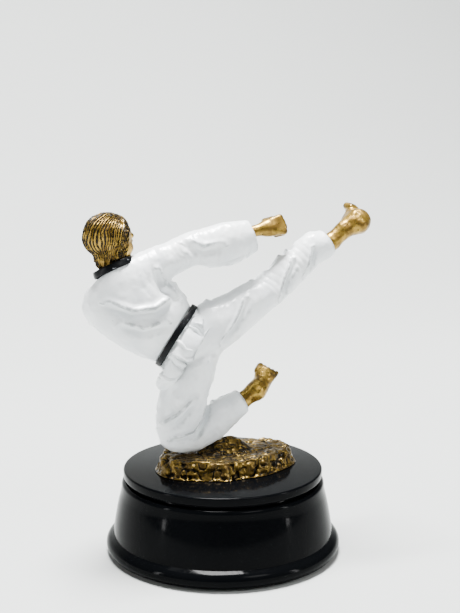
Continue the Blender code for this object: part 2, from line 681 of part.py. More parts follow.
def neck_solid(name, grow=0.0):
    return loft(name, NECK, "antique_gold", sides=16, grow=grow)


HEAD_FORWARD = Vector((math.cos(HEAD_YAW), math.sin(HEAD_YAW), 0.0))
HEAD_SIDE = Vector((-math.sin(HEAD_YAW), math.cos(HEAD_YAW), 0.0))


def skull(name, grow=0.0):
    rings = [(HEAD_CENTRE + Vector((0, 0, z)) + HEAD_FORWARD * shift, HEAD_FORWARD * deep, HEAD_SIDE * wide)
             for z, shift, deep, wide in HEAD_RINGS]
    return loft(name, rings, "antique_gold", sides=20, per_span=2, grow=grow)


def head():
    forward, side = HEAD_FORWARD, HEAD_SIDE
    piece = skull("head")
    nose_root = HEAD_CENTRE + forward * 6.6 + Vector((0, 0, 1.6))
    nose_tip = HEAD_CENTRE + forward * 7.6 + Vector((0, 0, -2.4))
    nose = [(nose_root, side * 0.7, forward * 0.8), (nose_tip, side * 1.4, forward * 1.4)]
    join(piece, neck_solid("neck_blank"), loft("nose_blank", nose, "antique_gold", sides=10, domes=(0.5, 0.6)))
    return cut(piece, bore(NECK_WIRE, WIRE_RADIUS))


def fist(name, hand, wire):
    piece = wrist_solid(hand, name)
    join(piece, loft(name + "_blank", straight(hand, FIST_RINGS), "antique_gold", sides=14, per_span=2))
    return cut(piece, bore(*wire))


def collar():
    """The black neckband: a ring round the neck, and two runs that cross on the chest."""
    up = Vector((-math.sin(math.radians(COLLAR_SLOPE)), 0.0, math.cos(math.radians(COLLAR_SLOPE))))
    centre, u, w = upright_ring(*COLLAR_CENTRE, COLLAR_SLOPE, 7.2, 6.0)
    band = loft("collar", [(centre + up * s, u, w) for s in (-2.2, 1.4)], "black_paint", sides=28, per_span=1)
    join(band, lapel_solid(0, "lapel_blank_0"), lapel_solid(1, "lapel_blank_1"))
    core = [(centre + up * s, u * 0.84, w * 0.82) for s in (-3.2, 2.4)]
    cut(band, loft("collar_core_cutter", core, "black_paint", sides=28, per_span=1))
    cut(band, torso_solid("collar_torso_cutter", GLUE_GAP), skull("collar_skull_cutter", GLUE_GAP))
    return cut(band, right_arm_solid("collar_arm_cutter", GLUE_GAP), belt_cutter())


# The knot's middle stands this far out from the waist's middle, towards the chest side.
KNOT_REACH = WAIST_HALF[1] + BELT_THICKNESS + 2 * GLUE_GAP + 1.2
BELT_TAILS = {
    "belt_tail_upper": [(0.6, 0.9, -2.6), (3.4, 2.6, -6.6), (5.6, 3.6, -11.2), (6.4, 3.4, -15.4)],
    "belt_tail_lower": [(-2.9, 0.9, -1.8), (-2.6, 2.6, -6.4), (-1.2, 3.5, -11.0), (-1.8, 3.8, -14.8)],
}


def belt_group():
    belt_band("belt", GLUE_GAP, BELT_THICKNESS, BELT_WIDTH / 2)
    knot = WAIST + WAIST_FRONT * KNOT_REACH
    across = Vector((math.cos(WAIST_SLOPE), 0.0, math.sin(WAIST_SLOPE)))
    up = Vector((0.0, 1.2, 0.0)).cross(across).normalized() * 1.7
    rings = [(knot + across * s, Vector((0.0, 1.2, 0.0)), up) for s in (-1.1, 1.1)]
    loft("belt_knot", rings, "black_paint", sides=14, per_span=1, domes=(0.9, 0.9))
    for name, offsets in BELT_TAILS.items():
        points = [knot + Vector(step) for step in offsets]
        loft(name, limb(points, [(1.2, 0.35)] * len(points)), "black_paint", sides=10, per_span=1)


def build():
    clear_scene()
    plinth_group()
    mound(tucked_leg_solid("mound_leg_cutter", GLUE_GAP))
    trousers()
    jacket()
    skirt()
    belt_group()
    collar()
    head()
    fist("right_fist", RIGHT_HAND, (RIGHT_ARM_WIRE, WIRE_RADIUS))
    fist("left_fist", LEFT_HAND, (LEFT_WRIST_PIN, PIN_RADIUS))
    armature()


build()
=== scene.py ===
"""The finished look of the side-kick figure trophy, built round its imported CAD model.

Cloth, skin and hair are sculpted as voxel clay: lofted solids are blended into one distance field, which is
turned into a mesh and then dressed with folds and grooves. The plinth is turned, and the mound is a displaced
dome. Sizes are in millimetres, in the CAD's frame, except in stage, lights and camera, which use metres.
"""

import math

import bmesh
import bpy
import numpy as np
import openvdb
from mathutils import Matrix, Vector


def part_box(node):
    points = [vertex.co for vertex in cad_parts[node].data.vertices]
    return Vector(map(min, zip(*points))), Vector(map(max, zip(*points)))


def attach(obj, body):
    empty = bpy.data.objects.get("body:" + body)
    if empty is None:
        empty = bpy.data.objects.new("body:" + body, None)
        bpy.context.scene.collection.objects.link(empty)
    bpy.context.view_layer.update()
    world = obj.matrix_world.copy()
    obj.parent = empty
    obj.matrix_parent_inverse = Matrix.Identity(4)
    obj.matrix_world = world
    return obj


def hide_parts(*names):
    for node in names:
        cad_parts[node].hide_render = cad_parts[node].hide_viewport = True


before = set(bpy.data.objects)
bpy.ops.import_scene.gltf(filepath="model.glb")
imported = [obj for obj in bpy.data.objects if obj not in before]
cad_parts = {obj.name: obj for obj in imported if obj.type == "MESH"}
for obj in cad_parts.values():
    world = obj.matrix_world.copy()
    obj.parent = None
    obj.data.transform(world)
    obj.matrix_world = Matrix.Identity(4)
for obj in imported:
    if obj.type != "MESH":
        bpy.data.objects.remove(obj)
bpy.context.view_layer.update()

MM = 0.001
CLOTH_VOXEL = 0.28
SKIN_VOXEL = 0.17


# ---------------------------------------------------------------- places read from the CAD model


def box(node):
    """A CAD node's lowest and highest corners, in millimetres."""
    low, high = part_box(node)
    return np.array(low) / MM, np.array(high) / MM


def centre(node):
    low, high = box(node)
    return (low + high) / 2


def wire_ends(node, radius, rising):
    """The two ends of a straight wire, from its box.

    rising says which axes grow from the first end to the second.
    """
    low, high = box(node)
    size = high - low
    span = size.copy()
    for _ in range(6):
        lean = span / np.linalg.norm(span)
        span = size - 2 * radius * np.sqrt(np.clip(1 - lean**2, 0, 1))
    step = np.where(rising, span, -span) / 2
    middle = (low + high) / 2
    return middle - step, middle + step


class Bone:
    """A line through a limb.

    A place is given by how far along it is, how far up in the XZ plane, and how far in Y.
    """

    def __init__(self, start, end):
        self.start = np.array(start, float)
        self.along = (end - start) / np.linalg.norm(end - start)
        self.up = np.cross(self.along, (0.0, 1.0, 0.0)) * -1.0
        self.up /= np.linalg.norm(self.up)
        self.side = np.cross(self.up, self.along)
        self.side *= np.sign(self.side[1])
        if self.up[2] < 0:
            self.up = -self.up

    def at(self, along, up=0.0, side=0.0):
        return self.start + self.along * along + self.up * up + self.side * side

    def rings(self, stations):
        """Loft rings from rows of (along, up, half height, half width)."""
        return [(self.at(s, up), self.up * high, self.side * wide) for s, up, high, wide in stations]


KICK = Bone(*wire_ends("kick_leg_wire", 0.8, (True, True, True)))
ARM = Bone(*wire_ends("right_arm_wire", 0.8, (True, True, True)))
ROD = wire_ends("support_rod", 1.0, (True, True, True))
WAIST = centre("belt")
WAIST[1] = 0.0
KNEE = ROD[0] + (-0.5, -0.3, 10.4)
HEAD_LOW, HEAD_HIGH = box("head")
HEAD_MIDDLE = np.array([HEAD_LOW[0] + 8.35, 1.2, HEAD_HIGH[2] - 9.1])
NECK = wire_ends("neck_wire", 0.8, (False, True, True))


# ---------------------------------------------------------------- lofts and voxel clay


def catmull_rom(a, b, c, d, t):
    return 0.5 * (2 * b + (c - a) * t + (2 * a - 5 * b + 4 * c - d) * t**2 + (3 * b - a - 3 * c + d) * t**3)


def smoothed(rows, per_span):
    """The same rings with more between them, on a smooth curve."""
    table = np.array([np.stack(r) for r in rows])
    padded = np.concatenate([table[:1], table, table[-1:]])
    made = []
    for i in range(len(table) - 1):
        made += [catmull_rom(*padded[i:i + 4], k / per_span) for k in range(per_span)]
    made.append(table[-1])
    return made


def stack_quads(rows, sides):
    """Quads between neighbouring rings of points, each ring closed on itself."""
    k = np.arange(sides)
    n = (k + 1) % sides
    bands = []
    for r in range(rows - 1):
        low, high = r * sides, (r + 1) * sides
        bands.append(np.stack([low + k, low + n, high + n, high + k], 1))
    return np.concatenate(bands)


def loft(rings, sides=40, per_span=6, domes=(0.0, 0.0), wave=None):
    """Points and quads of a closed tube through oval rings of (centre, half axis u, half axis w).

    domes are the lengths of the rounded ends. wave(t, angle) scales the radius, with t running 0 to 1.
    """
    rows = smoothed(rings, per_span)
    turn = np.linspace(0, math.tau, sides, endpoint=False)
    body = []
    for i, (middle, u, w) in enumerate(rows):
        grow = wave(i / (len(rows) - 1), turn)[:, None] if wave else 1.0
        body.append(middle + (np.cos(turn)[:, None] * u + np.sin(turn)[:, None] * w) * grow)
    caps = []
    for end, length in ((0, domes[0]), (-1, domes[1])):
        inner = rows[1][0] if end == 0 else rows[-2][0]
        middle, u, w = rows[end]
        out = (middle - inner) / np.linalg.norm(middle - inner)
        steps = np.radians((25, 48, 66, 80)) if length else ()
        dome = [
            middle + out * length * math.sin(a)
            + (np.cos(turn)[:, None] * u + np.sin(turn)[:, None] * w) * math.cos(a)
            for a in steps
        ]
        tip = middle + out * length
        caps.append((dome, tip))
    body = caps[0][0][::-1] + body + caps[1][0]
    points = np.concatenate([*body, caps[0][1][None], caps[1][1][None]])
    k = np.arange(sides)
    n = (k + 1) % sides
    last = (len(body) - 1) * sides
    low, high = len(body) * sides, len(body) * sides + 1
    start_cap = np.stack([n, k, np.full(sides, low)], 1)
    end_cap = np.stack([last + k, last + n, np.full(sides, high)], 1)
    return points, stack_quads(len(body), sides), np.concatenate([start_cap, end_cap])


def rod(start, end, radius_start, radius_end=None):
    """A round bar with ball ends."""
    start, end = np.array(start, float), np.array(end, float)
    radius_end = radius_start if radius_end is None else radius_end
    along = (end - start) / np.linalg.norm(end - start)
    u = np.cross(along, (0.31, 0.52, 0.79))
    u /= np.linalg.norm(u)
    w = np.cross(along, u)
    rings = [(start, u * radius_start, w * radius_start), (end, u * radius_end, w * radius_end)]
    return loft(rings, sides=20, per_span=2, domes=(radius_start, radius_end))


def egg(middle, u, w, v):
    """A closed ellipsoid with three half axes."""
    middle, u, w, v = (np.array(a, float) for a in (middle, u, w, v))
    rings = []
    for a in np.radians(np.linspace(-88, 88, 15)):
        rings.append((middle + v * math.sin(a), u * math.cos(a), w * math.cos(a)))
    return loft(rings, sides=28, per_span=1)


def soft_min(a, b, seam):
    h = np.clip(0.5 + 0.5 * (a - b) / seam, 0, 1)
    return a * (1 - h) + b * h - seam * h * (1 - h)


class Clay:
    """A block of voxels, each holding its distance to the surface, negative inside."""

    REACH = 12.0

    def __init__(self, low, high, voxel):
        self.low = np.array(low, float)
        self.voxel = voxel
        shape = np.ceil((np.array(high) - self.low) / voxel).astype(int) + 1
        self.field = np.full(shape, self.REACH * voxel, np.float32)

    def distance(self, solid):
        """The solid's own distance field over this block."""
        points, quads, triangles = solid
        grid = openvdb.FloatGrid.createLevelSetFromPolygons(
            ((points - self.low) / self.voxel).astype(np.float32),
            triangles=triangles.astype(np.uint32),
            quads=quads.astype(np.uint32),
            halfWidth=self.REACH,
        )
        field = np.empty_like(self.field)
        grid.copyToArray(field)
        return field * self.voxel

    def add(self, solid, seam=0.3):
        self.field = soft_min(self.field, self.distance(solid), seam)
        return self

    def carve(self, solid, seam=0.3):
        self.field = -soft_min(-self.field, self.distance(solid), seam)
        return self

    def axes(self):
        return [self.low[i] + self.voxel * np.arange(n).reshape([-1 if j == i else 1 for j in range(3)])
                for i, n in enumerate(self.field.shape)]

    def keep_below(self, point, normal, seam=0.2):
        """Cuts off everything on the side of a plane that its normal points to."""
        normal = np.array(normal, float) / np.linalg.norm(normal)
        x, y, z = self.axes()
        height = (x - point[0]) * normal[0] + (y - point[1]) * normal[1] + (z - point[2]) * normal[2]
        self.field = -soft_min(-self.field, -height.astype(np.float32), seam)
        return self

    def blur(self, rounds=1):
        """Softens the corners."""
        for _ in range(rounds):
            for axis in range(3):
                f = self.field
                ahead, behind = np.roll(f, -1, axis), np.roll(f, 1, axis)
                self.field = 0.5 * f + 0.25 * (ahead + behind)
        return self

    def mesh(self):
        """Points in millimetres and quads of the surface."""
        grid = openvdb.FloatGrid(3.0)
        grid.copyFromArray(np.clip(self.field / self.voxel, -3, 3).astype(np.float32))
        points, quads = grid.convertToQuads(0.0)
        return points * self.voxel + self.low, quads[:, ::-1]


# ---------------------------------------------------------------- dressing a sculpted surface


def lattice(cells, seed):
    """Repeatable random values in 0..1 at whole-number places."""
    i, j, k = (cells[..., n].astype(np.int64) for n in range(3))
    h = (i * 374761393 + j * 668265263 + k * 2147483647 + seed * 974634777) & 0xFFFFFFFF
    h = ((h ^ (h >> 13)) * 1274126177) & 0xFFFFFFFF
    return ((h ^ (h >> 16)) & 0xFFFF) / 65535.0


def noise(points, size, seed=0):
    """Smooth value noise in -1..1 with lumps of about the given size."""
    p = points / size
    base = np.floor(p)
    t = p - base
    t = t * t * (3 - 2 * t)
    total = np.zeros(len(points))
    for corner in range(8):
        bit = np.array([corner & 1, corner >> 1 & 1, corner >> 2 & 1])
        weight = np.prod(np.where(bit, t, 1 - t), axis=1)
        total += weight * lattice(base + bit, seed)
    return total * 2 - 1


def normals_of(points, quads):
    a, b, c, d = (points[quads[:, i]] for i in range(4))
    face = np.cross(c - a, d - b)
    total = np.zeros_like(points)
    for i in range(4):
        np.add.at(total, quads[:, i], face)
    return total / np.maximum(np.linalg.norm(total, axis=1, keepdims=True), 1e-9)


def relax(points, quads, rounds, share=0.5):
    """Moves each point towards the middle of its neighbours."""
    edges = np.concatenate([quads[:, [i, (i + 1) % 4]] for i in range(4)])
    count = np.bincount(edges.ravel(), minlength=len(points))[:, None]
    for _ in range(rounds):
        total = np.zeros_like(points)
        np.add.at(total, edges[:, 0], points[edges[:, 1]])
        np.add.at(total, edges[:, 1], points[edges[:, 0]])
        points = points + (total / np.maximum(count, 1) - points) * share
    return points


def ramp(value, low, high):
    t = np.clip((value - low) / (high - low), 0, 1)
    return t * t * (3 - 2 * t)


def polyline_offset(x, z, path):
    """Signed distance from a path in the XZ plane, positive on its left, and the share of its length."""
    path = np.array(path, float)
    best = np.full(len(x), np.inf)
    signed = np.zeros(len(x))
    share = np.zeros(len(x))
    for i, (a, b) in enumerate(zip(path, path[1:])):
        step = b - a
        t = np.clip(((x - a[0]) * step[0] + (z - a[1]) * step[1]) / (step @ step), 0, 1)
        dx, dz = x - a[0] - step[0] * t, z - a[1] - step[1] * t
        away = np.hypot(dx, dz)
        near = away < best
        best = np.where(near, away, best)
        side = np.sign(step[0] * dz - step[1] * dx)
        signed = np.where(near, away * side, signed)
        share = np.where(near, (i + t) / (len(path) - 1), share)
    return signed, share


# Every fold's listed height is multiplied by this.
FOLD_DEPTH = 2.6


def fold_heights(points, normals, folds):
    """Height of every fold over a surface, and how deep each place lies in a fold's valley.

    A fold is (path from the waist, height, width, side of the body), with BACK or FRONT as its side. It is a
    soft crest along its path with a sharper valley on the path's left.
    """
    total = np.zeros(len(points))
    cut = np.zeros(len(points))
    x, z = points[:, 0] - WAIST[0], points[:, 2] - WAIST[2]
    for path, height, width, side in folds:
        reach = 4 * width
        low, high = np.min(path, 0) - reach, np.max(path, 0) + reach
        near = (x > low[0]) & (x < high[0]) & (z > low[1]) & (z < high[1])
        near &= normals[:, 1] * side > -0.25
        signed, share = polyline_offset(x[near], z[near], path)
        fade = np.sqrt(np.clip(np.sin(np.pi * np.clip(share * 0.94 + 0.03, 0, 1)), 0, 1))
        facing = ramp(normals[near, 1] * side, -0.25, 0.15)
        crest = np.exp(-((signed / width) ** 2))
        valley = np.exp(-(((signed - 1.45 * width) / (0.75 * width)) ** 2))
        total[near] += FOLD_DEPTH * height * fade * facing * (crest - 0.75 * valley)
        # cut marks the fold valleys, which the white paint later darkens as painted shade.
        cut[near] += height * fade * facing * valley
    return total, cut


def make_piece(name, points, quads, groove=None, triangles=()):
    """A smooth mesh object from millimetre points, carrying a groove value for the dark wash on gold and the
    painted crease shade on white.
    """
    mesh = bpy.data.meshes.new(name)
    mesh.from_pydata((points * MM).tolist(), [], quads.tolist() + list(triangles))
    mesh.shade_smooth()
    if groove is not None:
        store = mesh.attributes.new("groove", "FLOAT", "POINT")
        store.data.foreach_set("value", groove.astype(np.float32))
    piece = bpy.data.objects.new(name, mesh)
    bpy.context.scene.collection.objects.link(piece)
    return piece


def hollows(points, quads, rounds=6):
    """How far each point lies below its smoothed surroundings, in millimetres."""
    calm = relax(points, quads, rounds, 0.6)
    return np.einsum("ij,ij->i", calm - points, normals_of(points, quads))


def finish_piece(piece, material, slot, *nodes):
    piece.data.materials.append(material)
    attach(piece, "root")
    if nodes:
        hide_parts(*nodes)
    return piece


# ---------------------------------------------------------------- materials


class Paint:
    """A material with a Principled shader and short ways to wire textures into it."""

    def __init__(self, name, colour, roughness, metallic=0.0, **sockets):
        self.material = bpy.data.materials.new(name)
        self.material.use_nodes = True
        self.tree = self.material.node_tree
        self.shader = self.tree.nodes["Principled BSDF"]
        self.set("Base Color", (*colour, 1.0))
        self.set("Roughness", roughness)
        self.set("Metallic", metallic)
        for socket, value in sockets.items():
            self.set(socket.replace("_", " "), value)
        self.coordinates = self.tree.nodes.new("ShaderNodeTexCoord").outputs["Object"]

    def set(self, socket, value):
        self.shader.inputs[socket].default_value = value

    def node(self, kind, **values):
        made = self.tree.nodes.new(kind)
        for key, value in values.items():
            if hasattr(made, key):
                setattr(made, key, value)
            else:
                made.inputs[key.replace("_", " ")].default_value = value
        return made

    def link(self, out, into):
        self.tree.links.new(out, into)

    def noise(self, scale, detail=3.0, roughness=0.5, stretch=None):
        made = self.node("ShaderNodeTexNoise", Scale=scale, Detail=detail, Roughness=roughness)
        self.link(self.stretched(stretch), made.inputs["Vector"])
        return made.outputs["Fac"]

    def cells(self, scale, feature="F1"):
        made = self.node("ShaderNodeTexVoronoi", Scale=scale, feature=feature)
        self.link(self.coordinates, made.inputs["Vector"])
        return made.outputs["Distance"]

    def stretched(self, scale):
        if scale is None:
            return self.coordinates
        made = self.node("ShaderNodeMapping", Scale=scale)
        self.link(self.coordinates, made.inputs["Vector"])
        return made.outputs["Vector"]

    def attribute(self, name):
        return self.node("ShaderNodeAttribute", attribute_name=name).outputs["Fac"]

    def math(self, operation, a, b):
        made = self.node("ShaderNodeMath", operation=operation)
        for i, value in enumerate((a, b)):
            if isinstance(value, (int, float)):
                made.inputs[i].default_value = value
            else:
                self.link(value, made.inputs[i])
        return made.outputs[0]

    def stretch(self, value, low, high, to_low=0.0, to_high=1.0):
        made = self.node("ShaderNodeMapRange", interpolation_type="SMOOTHSTEP")
        made.inputs["From Min"].default_value = low
        made.inputs["From Max"].default_value = high
        made.inputs["To Min"].default_value = to_low
        made.inputs["To Max"].default_value = to_high
        self.link(value, made.inputs["Value"])
        return made.outputs["Result"]

    def mix(self, share, a, b):
        made = self.node("ShaderNodeMix", data_type="RGBA")
        self.link(share, made.inputs[0])
        for i, value in ((6, a), (7, b)):
            if isinstance(value, tuple):
                made.inputs[i].default_value = (*value, 1.0)
            else:
                self.link(value, made.inputs[i])
        return made.outputs[2]

    def bump(self, height, strength, distance):
        made = self.node("ShaderNodeBump", Strength=strength, Distance=distance)
        self.link(height, made.inputs["Height"])
        previous = self.shader.inputs["Normal"].links
        if previous:
            self.link(previous[0].from_socket, made.inputs["Normal"])
        self.link(made.outputs["Normal"], self.shader.inputs["Normal"])

    def colour(self, out):
        self.link(out, self.shader.inputs["Base Color"])

    def roughness(self, value, low, high, rough_low, rough_high):
        self.link(self.stretch(value, low, high, rough_low, rough_high), self.shader.inputs["Roughness"])


def white_paint():
    """Satin white over cast cloth, with grey painted shade in its hollows and fold valleys."""
    p = Paint("white_paint", (0.86, 0.88, 0.89), 0.34,
              Coat_Weight=0.4, Coat_Roughness=0.2, Specular_IOR_Level=0.5)
    patchy = p.mix(p.stretch(p.noise(120.0), 0.35, 0.7), (0.87, 0.895, 0.90), (0.77, 0.80, 0.82))
    # Painted shade: grey laid into the hollows and fold valleys, broken up by noise.
    painted_crease_shade = p.math("MULTIPLY", p.stretch(p.attribute("groove"), 0.015, 0.19),
                  p.stretch(p.noise(500.0, 4), 0.25, 0.65))
    specks = p.math("MULTIPLY", p.stretch(p.cells(420.0), 0.16, 0.05), p.stretch(p.noise(260.0), 0.62, 0.70))
    # The dark specks are real flecks; the crease part is painted shade.
    specks_and_crease_shade = p.math("MAXIMUM", p.math("MULTIPLY", painted_crease_shade, 0.8), p.math("MULTIPLY", specks, 0.6))
    p.colour(p.mix(specks_and_crease_shade, patchy, (0.20, 0.22, 0.23)))
    p.roughness(p.noise(500.0), 0.3, 0.7, 0.28, 0.42)
    p.bump(p.noise(1500.0, 2), 0.12, 0.00008)
    p.bump(p.noise(260.0, 3), 0.25, 0.0002)
    return p.material


def antique_gold(name="antique_gold", shade=1.05, wash_high=0.07):
    """Aged gold paint: bright on the high places, brown-black in the hollows."""
    p = Paint(name, (0.36, 0.23, 0.03), 0.32, 0.8)
    bright = (0.33 * shade, 0.205 * shade, 0.032 * shade)
    dull = (0.15 * shade, 0.085 * shade, 0.014 * shade)
    tone = p.mix(p.stretch(p.noise(350.0, 4), 0.38, 0.68), bright, dull)
    caught = p.math("MULTIPLY", p.stretch(p.attribute("groove"), 0.0, wash_high),
                    p.stretch(p.noise(1100.0, 4), 0.25, 0.50))
    smears = p.math("MULTIPLY", p.stretch(p.noise(330.0, 5, 0.65), 0.56, 0.70), 0.7)
    grime = p.math("MAXIMUM", caught, smears)
    p.colour(p.mix(grime, tone, (0.010, 0.008, 0.005)))
    p.roughness(p.noise(700.0, 3), 0.3, 0.7, 0.24, 0.46)
    p.bump(p.noise(1600.0, 3), 0.25, 0.00012)
    return p.material


def black_gloss():
    """Polished black resin under a clear coat."""
    p = Paint("black_gloss", (0.001, 0.0012, 0.0015), 0.10, Coat_Weight=0.017, Coat_Roughness=0.05,
              Specular_IOR_Level=0.018)
    p.colour(p.mix(p.noise(60.0), (0.0008, 0.0010, 0.0013), (0.002, 0.0022, 0.0026)))
    p.roughness(p.noise(900.0, 4), 0.35, 0.75, 0.08, 0.22)
    p.bump(p.noise(140.0, 2), 0.04, 0.0003)
    return p.material


def black_paint():
    """Satin black belt paint with a woven grain and pale rubbed specks."""
    p = Paint("black_paint", (0.003, 0.0034, 0.004), 0.42, Specular_IOR_Level=0.12)
    grain = p.noise(2600.0, 2, stretch=(1.0, 0.4, 1.6))
    rubbed = p.math("MULTIPLY", p.stretch(p.noise(1500.0, 3), 0.62, 0.72),
                    p.stretch(p.noise(330.0), 0.55, 0.66))
    p.colour(p.mix(rubbed, (0.0015, 0.0018, 0.0025), (0.25, 0.26, 0.28)))
    p.roughness(grain, 0.3, 0.7, 0.30, 0.50)
    p.bump(grain, 0.35, 0.0001)
    return p.material


def felt():
    p = Paint("felt", (0.018, 0.018, 0.02), 0.95, Sheen_Weight=0.4)
    fibre = p.noise(3200.0, 5, 0.7)
    p.colour(p.mix(fibre, (0.010, 0.010, 0.012), (0.035, 0.035, 0.038)))
    p.bump(fibre, 0.8, 0.0002)
    return p.material


def steel():
    p = Paint("steel", (0.55, 0.55, 0.56), 0.3, 1.0)
    drawn = p.noise(2400.0, 3, stretch=(1.0, 1.0, 0.08))
    p.colour(p.mix(drawn, (0.50, 0.50, 0.51), (0.62, 0.62, 0.63)))
    p.roughness(drawn, 0.3, 0.7, 0.22, 0.42)
    p.bump(drawn, 0.2, 0.00005)
    return p.material


def floor_paint():
    p = Paint("floor", (0.46, 0.475, 0.465), 0.6)
    p.colour(p.mix(p.noise(6.0), (0.465, 0.48, 0.47), (0.445, 0.46, 0.45)))
    return p.material


WHITE = white_paint()
GOLD = antique_gold()
ROCK_GOLD = antique_gold("rock_gold", 0.42, 0.075)
GLOSS = black_gloss()
BLACK = black_paint()
FELT = felt()
STEEL = steel()


# ---------------------------------------------------------------- plinth and mound


def lathe(name, profile, sides=192):
    """A closed turned solid. The profile is (r, z) from the axis underneath to the axis on top."""
    rim = np.array(profile[1:-1])
    turn = np.linspace(0, math.tau, sides, endpoint=False)
    x, y = np.cos(turn), np.sin(turn)
    points = [np.array([[0, 0, profile[0][1]]])]
    points += [np.stack([r * x, r * y, np.full(sides, z)], 1) for r, z in rim]
    points.append(np.array([[0, 0, profile[-1][1]]]))
    points = np.concatenate(points)
    last = 1 + (len(rim) - 1) * sides
    fans = [(0, 1 + (k + 1) % sides, 1 + k) for k in range(sides)]
    fans += [(len(points) - 1, last + k, last + (k + 1) % sides) for k in range(sides)]
    return make_piece(name, points, 1 + stack_quads(len(rim), sides), triangles=fans)


def arc(r, z, radius, start, end, steps):
    angles = np.radians(np.linspace(start, end, steps + 1))
    return [(r + radius * math.cos(a), z + radius * math.sin(a)) for a in angles]


def plinth():
    low, high = box("plinth")
    foot, seat, top = high[0], low[2], high[2]
    felt_edge = box("felt_pad")[1][0] + 0.3
    bead = arc(foot - 2.95, seat + 3.0, 2.95, -90, 60, 16)
    bell = [(foot - 2.55, 6.5), (foot - 2.6, 7.6), (foot - 2.85, 10.0), (foot - 3.25, 12.5),
            (foot - 3.75, 15.2), (foot - 4.3, 17.8), (foot - 4.9, 20.2), (foot - 5.4, 22.2)]
    shoulder = arc(foot - 7.0, 23.7, 1.5, 2, 88, 8)
    groove = [(foot - 7.4, 25.25), (foot - 7.62, 25.45), (foot - 7.62, 25.95), (foot - 7.3, 26.2)]
    disc = arc(foot - 6.75, 26.85, 0.6, -90, 0, 4) + arc(foot - 6.75, top - 0.6, 0.6, 0, 90, 6)
    underside = [(0, 1.3), (felt_edge, 1.3), (felt_edge, seat)]
    outline = [*underside, *bead, *bell, *shoulder, *groove, *disc, (0, top)]
    piece = lathe("plinth_body", outline)
    piece.data.set_sharp_from_angle(angle=math.radians(50))
    finish_piece(piece, GLOSS, "black_gloss", "plinth")


def mound():
    """Hammered rock: a lumpy wall full of pits round a flatter brushed top with a ridge under the shin."""
    low, high = box("mound")
    middle = (low + high) / 2
    half = (high - low) / 2
    sectors, steps = 420, 96
    angle = np.linspace(0, math.tau, sectors, endpoint=False)[None, :]
    level = np.linspace(0, 1, steps)[:, None]
    wall = ramp(level, 0.0, 0.34)
    share = np.where(level < 0.34, 1.0 - 0.10 * (level / 0.34) ** 1.6, 0.90 * (1 - level) / 0.66)
    foot = 0.035 * np.exp(-((level / 0.05) ** 2))
    oval = 1 / np.hypot(np.cos(angle) / (half[0] - 0.5), np.sin(angle) / (half[1] - 0.5))
    edge = oval * (1 + 0.022 * np.sin(3 * angle + 0.6) + 0.02 * np.sin(7 * angle + 2.0) + foot)
    x = middle[0] + edge * share * np.cos(angle)
    y = middle[1] + edge * share * np.sin(angle)
    flat = np.stack([x.ravel(), y.ravel(), np.zeros(x.size)], 1)
    ridge_reach = np.clip(1 - ((x + 1.0) / 10.0) ** 2, 0, 1)
    ridge_side = np.exp(-(((y + 1.5 - 0.1 * x) / 4.0) ** 2))
    ridge = 5.2 * ridge_reach * ridge_side * np.clip(0.85 + 0.05 * x, 0.3, 1.15)
    lumps = 0.5 * noise(flat, 6.0, 3).reshape(x.shape) + 0.25 * noise(flat, 2.6, 4).reshape(x.shape)
    top = 35.0 + ridge + lumps - 1.2 * ramp(x, -20.0, -24.0)
    base = low[2]
    z = base + (top - base) * wall
    points = np.stack([x, y, z], 2).reshape(-1, 3)
    quads = stack_quads(steps, sectors)
    out = normals_of(points, quads)
    steep = 1 - ramp(out[:, 2], 0.55, 0.9)
    facets = np.abs(noise(points, 2.4, 11)) + 0.5 * np.abs(noise(points, 1.2, 12))
    channels = ramp(np.abs(noise(points * (1.0, 1.0, 0.7), 2.2, 22)), 0.16, 0.04)
    worms = channels * ramp(noise(points, 2.8, 23), -0.2, 0.2)
    pits = np.maximum(ramp(noise(points, 1.7, 21), 0.32, 0.6), 0.8 * worms)
    strokes = noise(points * (0.35, 1.6, 1.0), 0.8, 31)
    rise_of_wall = 0.9 * facets - 0.3 - 1.1 * pits
    rise_of_top = 0.22 * strokes + 0.35 * facets - 0.35 * pits
    rise = steep * rise_of_wall + (1 - steep) * rise_of_top
    hold = np.repeat(ramp(np.linspace(0, 1, steps), 0.0, 0.05), sectors)
    points = points + out * (rise * hold)[:, None]
    points[:, 2] = np.maximum(points[:, 2], base)
    groove = hollows(points, quads, 5) + 0.14 * pits * steep
    groove = groove + (1 - steep) * (0.05 * ramp(strokes, 0.1, -0.3) + 0.07 * pits)
    # The underside is closed by a fan round one more point.
    cap = len(points)
    points = np.concatenate([points, points[:sectors].mean(0)[None]])
    fan = [(cap, (i + 1) % sectors, i) for i in range(sectors)]
    piece = make_piece("mound_rock", points, quads, np.append(groove, 0.0), fan)
    finish_piece(piece, ROCK_GOLD, "antique_gold", "mound")


# ---------------------------------------------------------------- the suit


# The belt and the neckband sit higher at the figure's back than at its front.
BODY_LEAN = math.radians(20.0)
WAIST_SLOPE = 55.8
WAIST_UP = np.array([-math.sin(math.radians(WAIST_SLOPE)), 0.0, math.cos(math.radians(WAIST_SLOPE))])


def tilted_ring(x, z, slope, half_u, half_w, y=0.0, lean=BODY_LEAN):
    """A ring given from the waist's middle.

    Its u axis slopes in the XZ plane, and it is leant forward about that axis.
    """
    a = math.radians(slope)
    u = np.array([math.cos(a), 0.0, math.sin(a)])
    up = np.array([-math.sin(a), 0.0, math.cos(a)])
    w = np.array([0.0, math.cos(lean), 0.0]) - up * math.sin(lean)
    return WAIST + (x, y, z), u * half_u, w * half_w


def waist_ring(shift, half_u, half_w, y=0.0):
    return tilted_ring(WAIST_UP[0] * shift, WAIST_UP[2] * shift, WAIST_SLOPE, half_u, half_w, y)


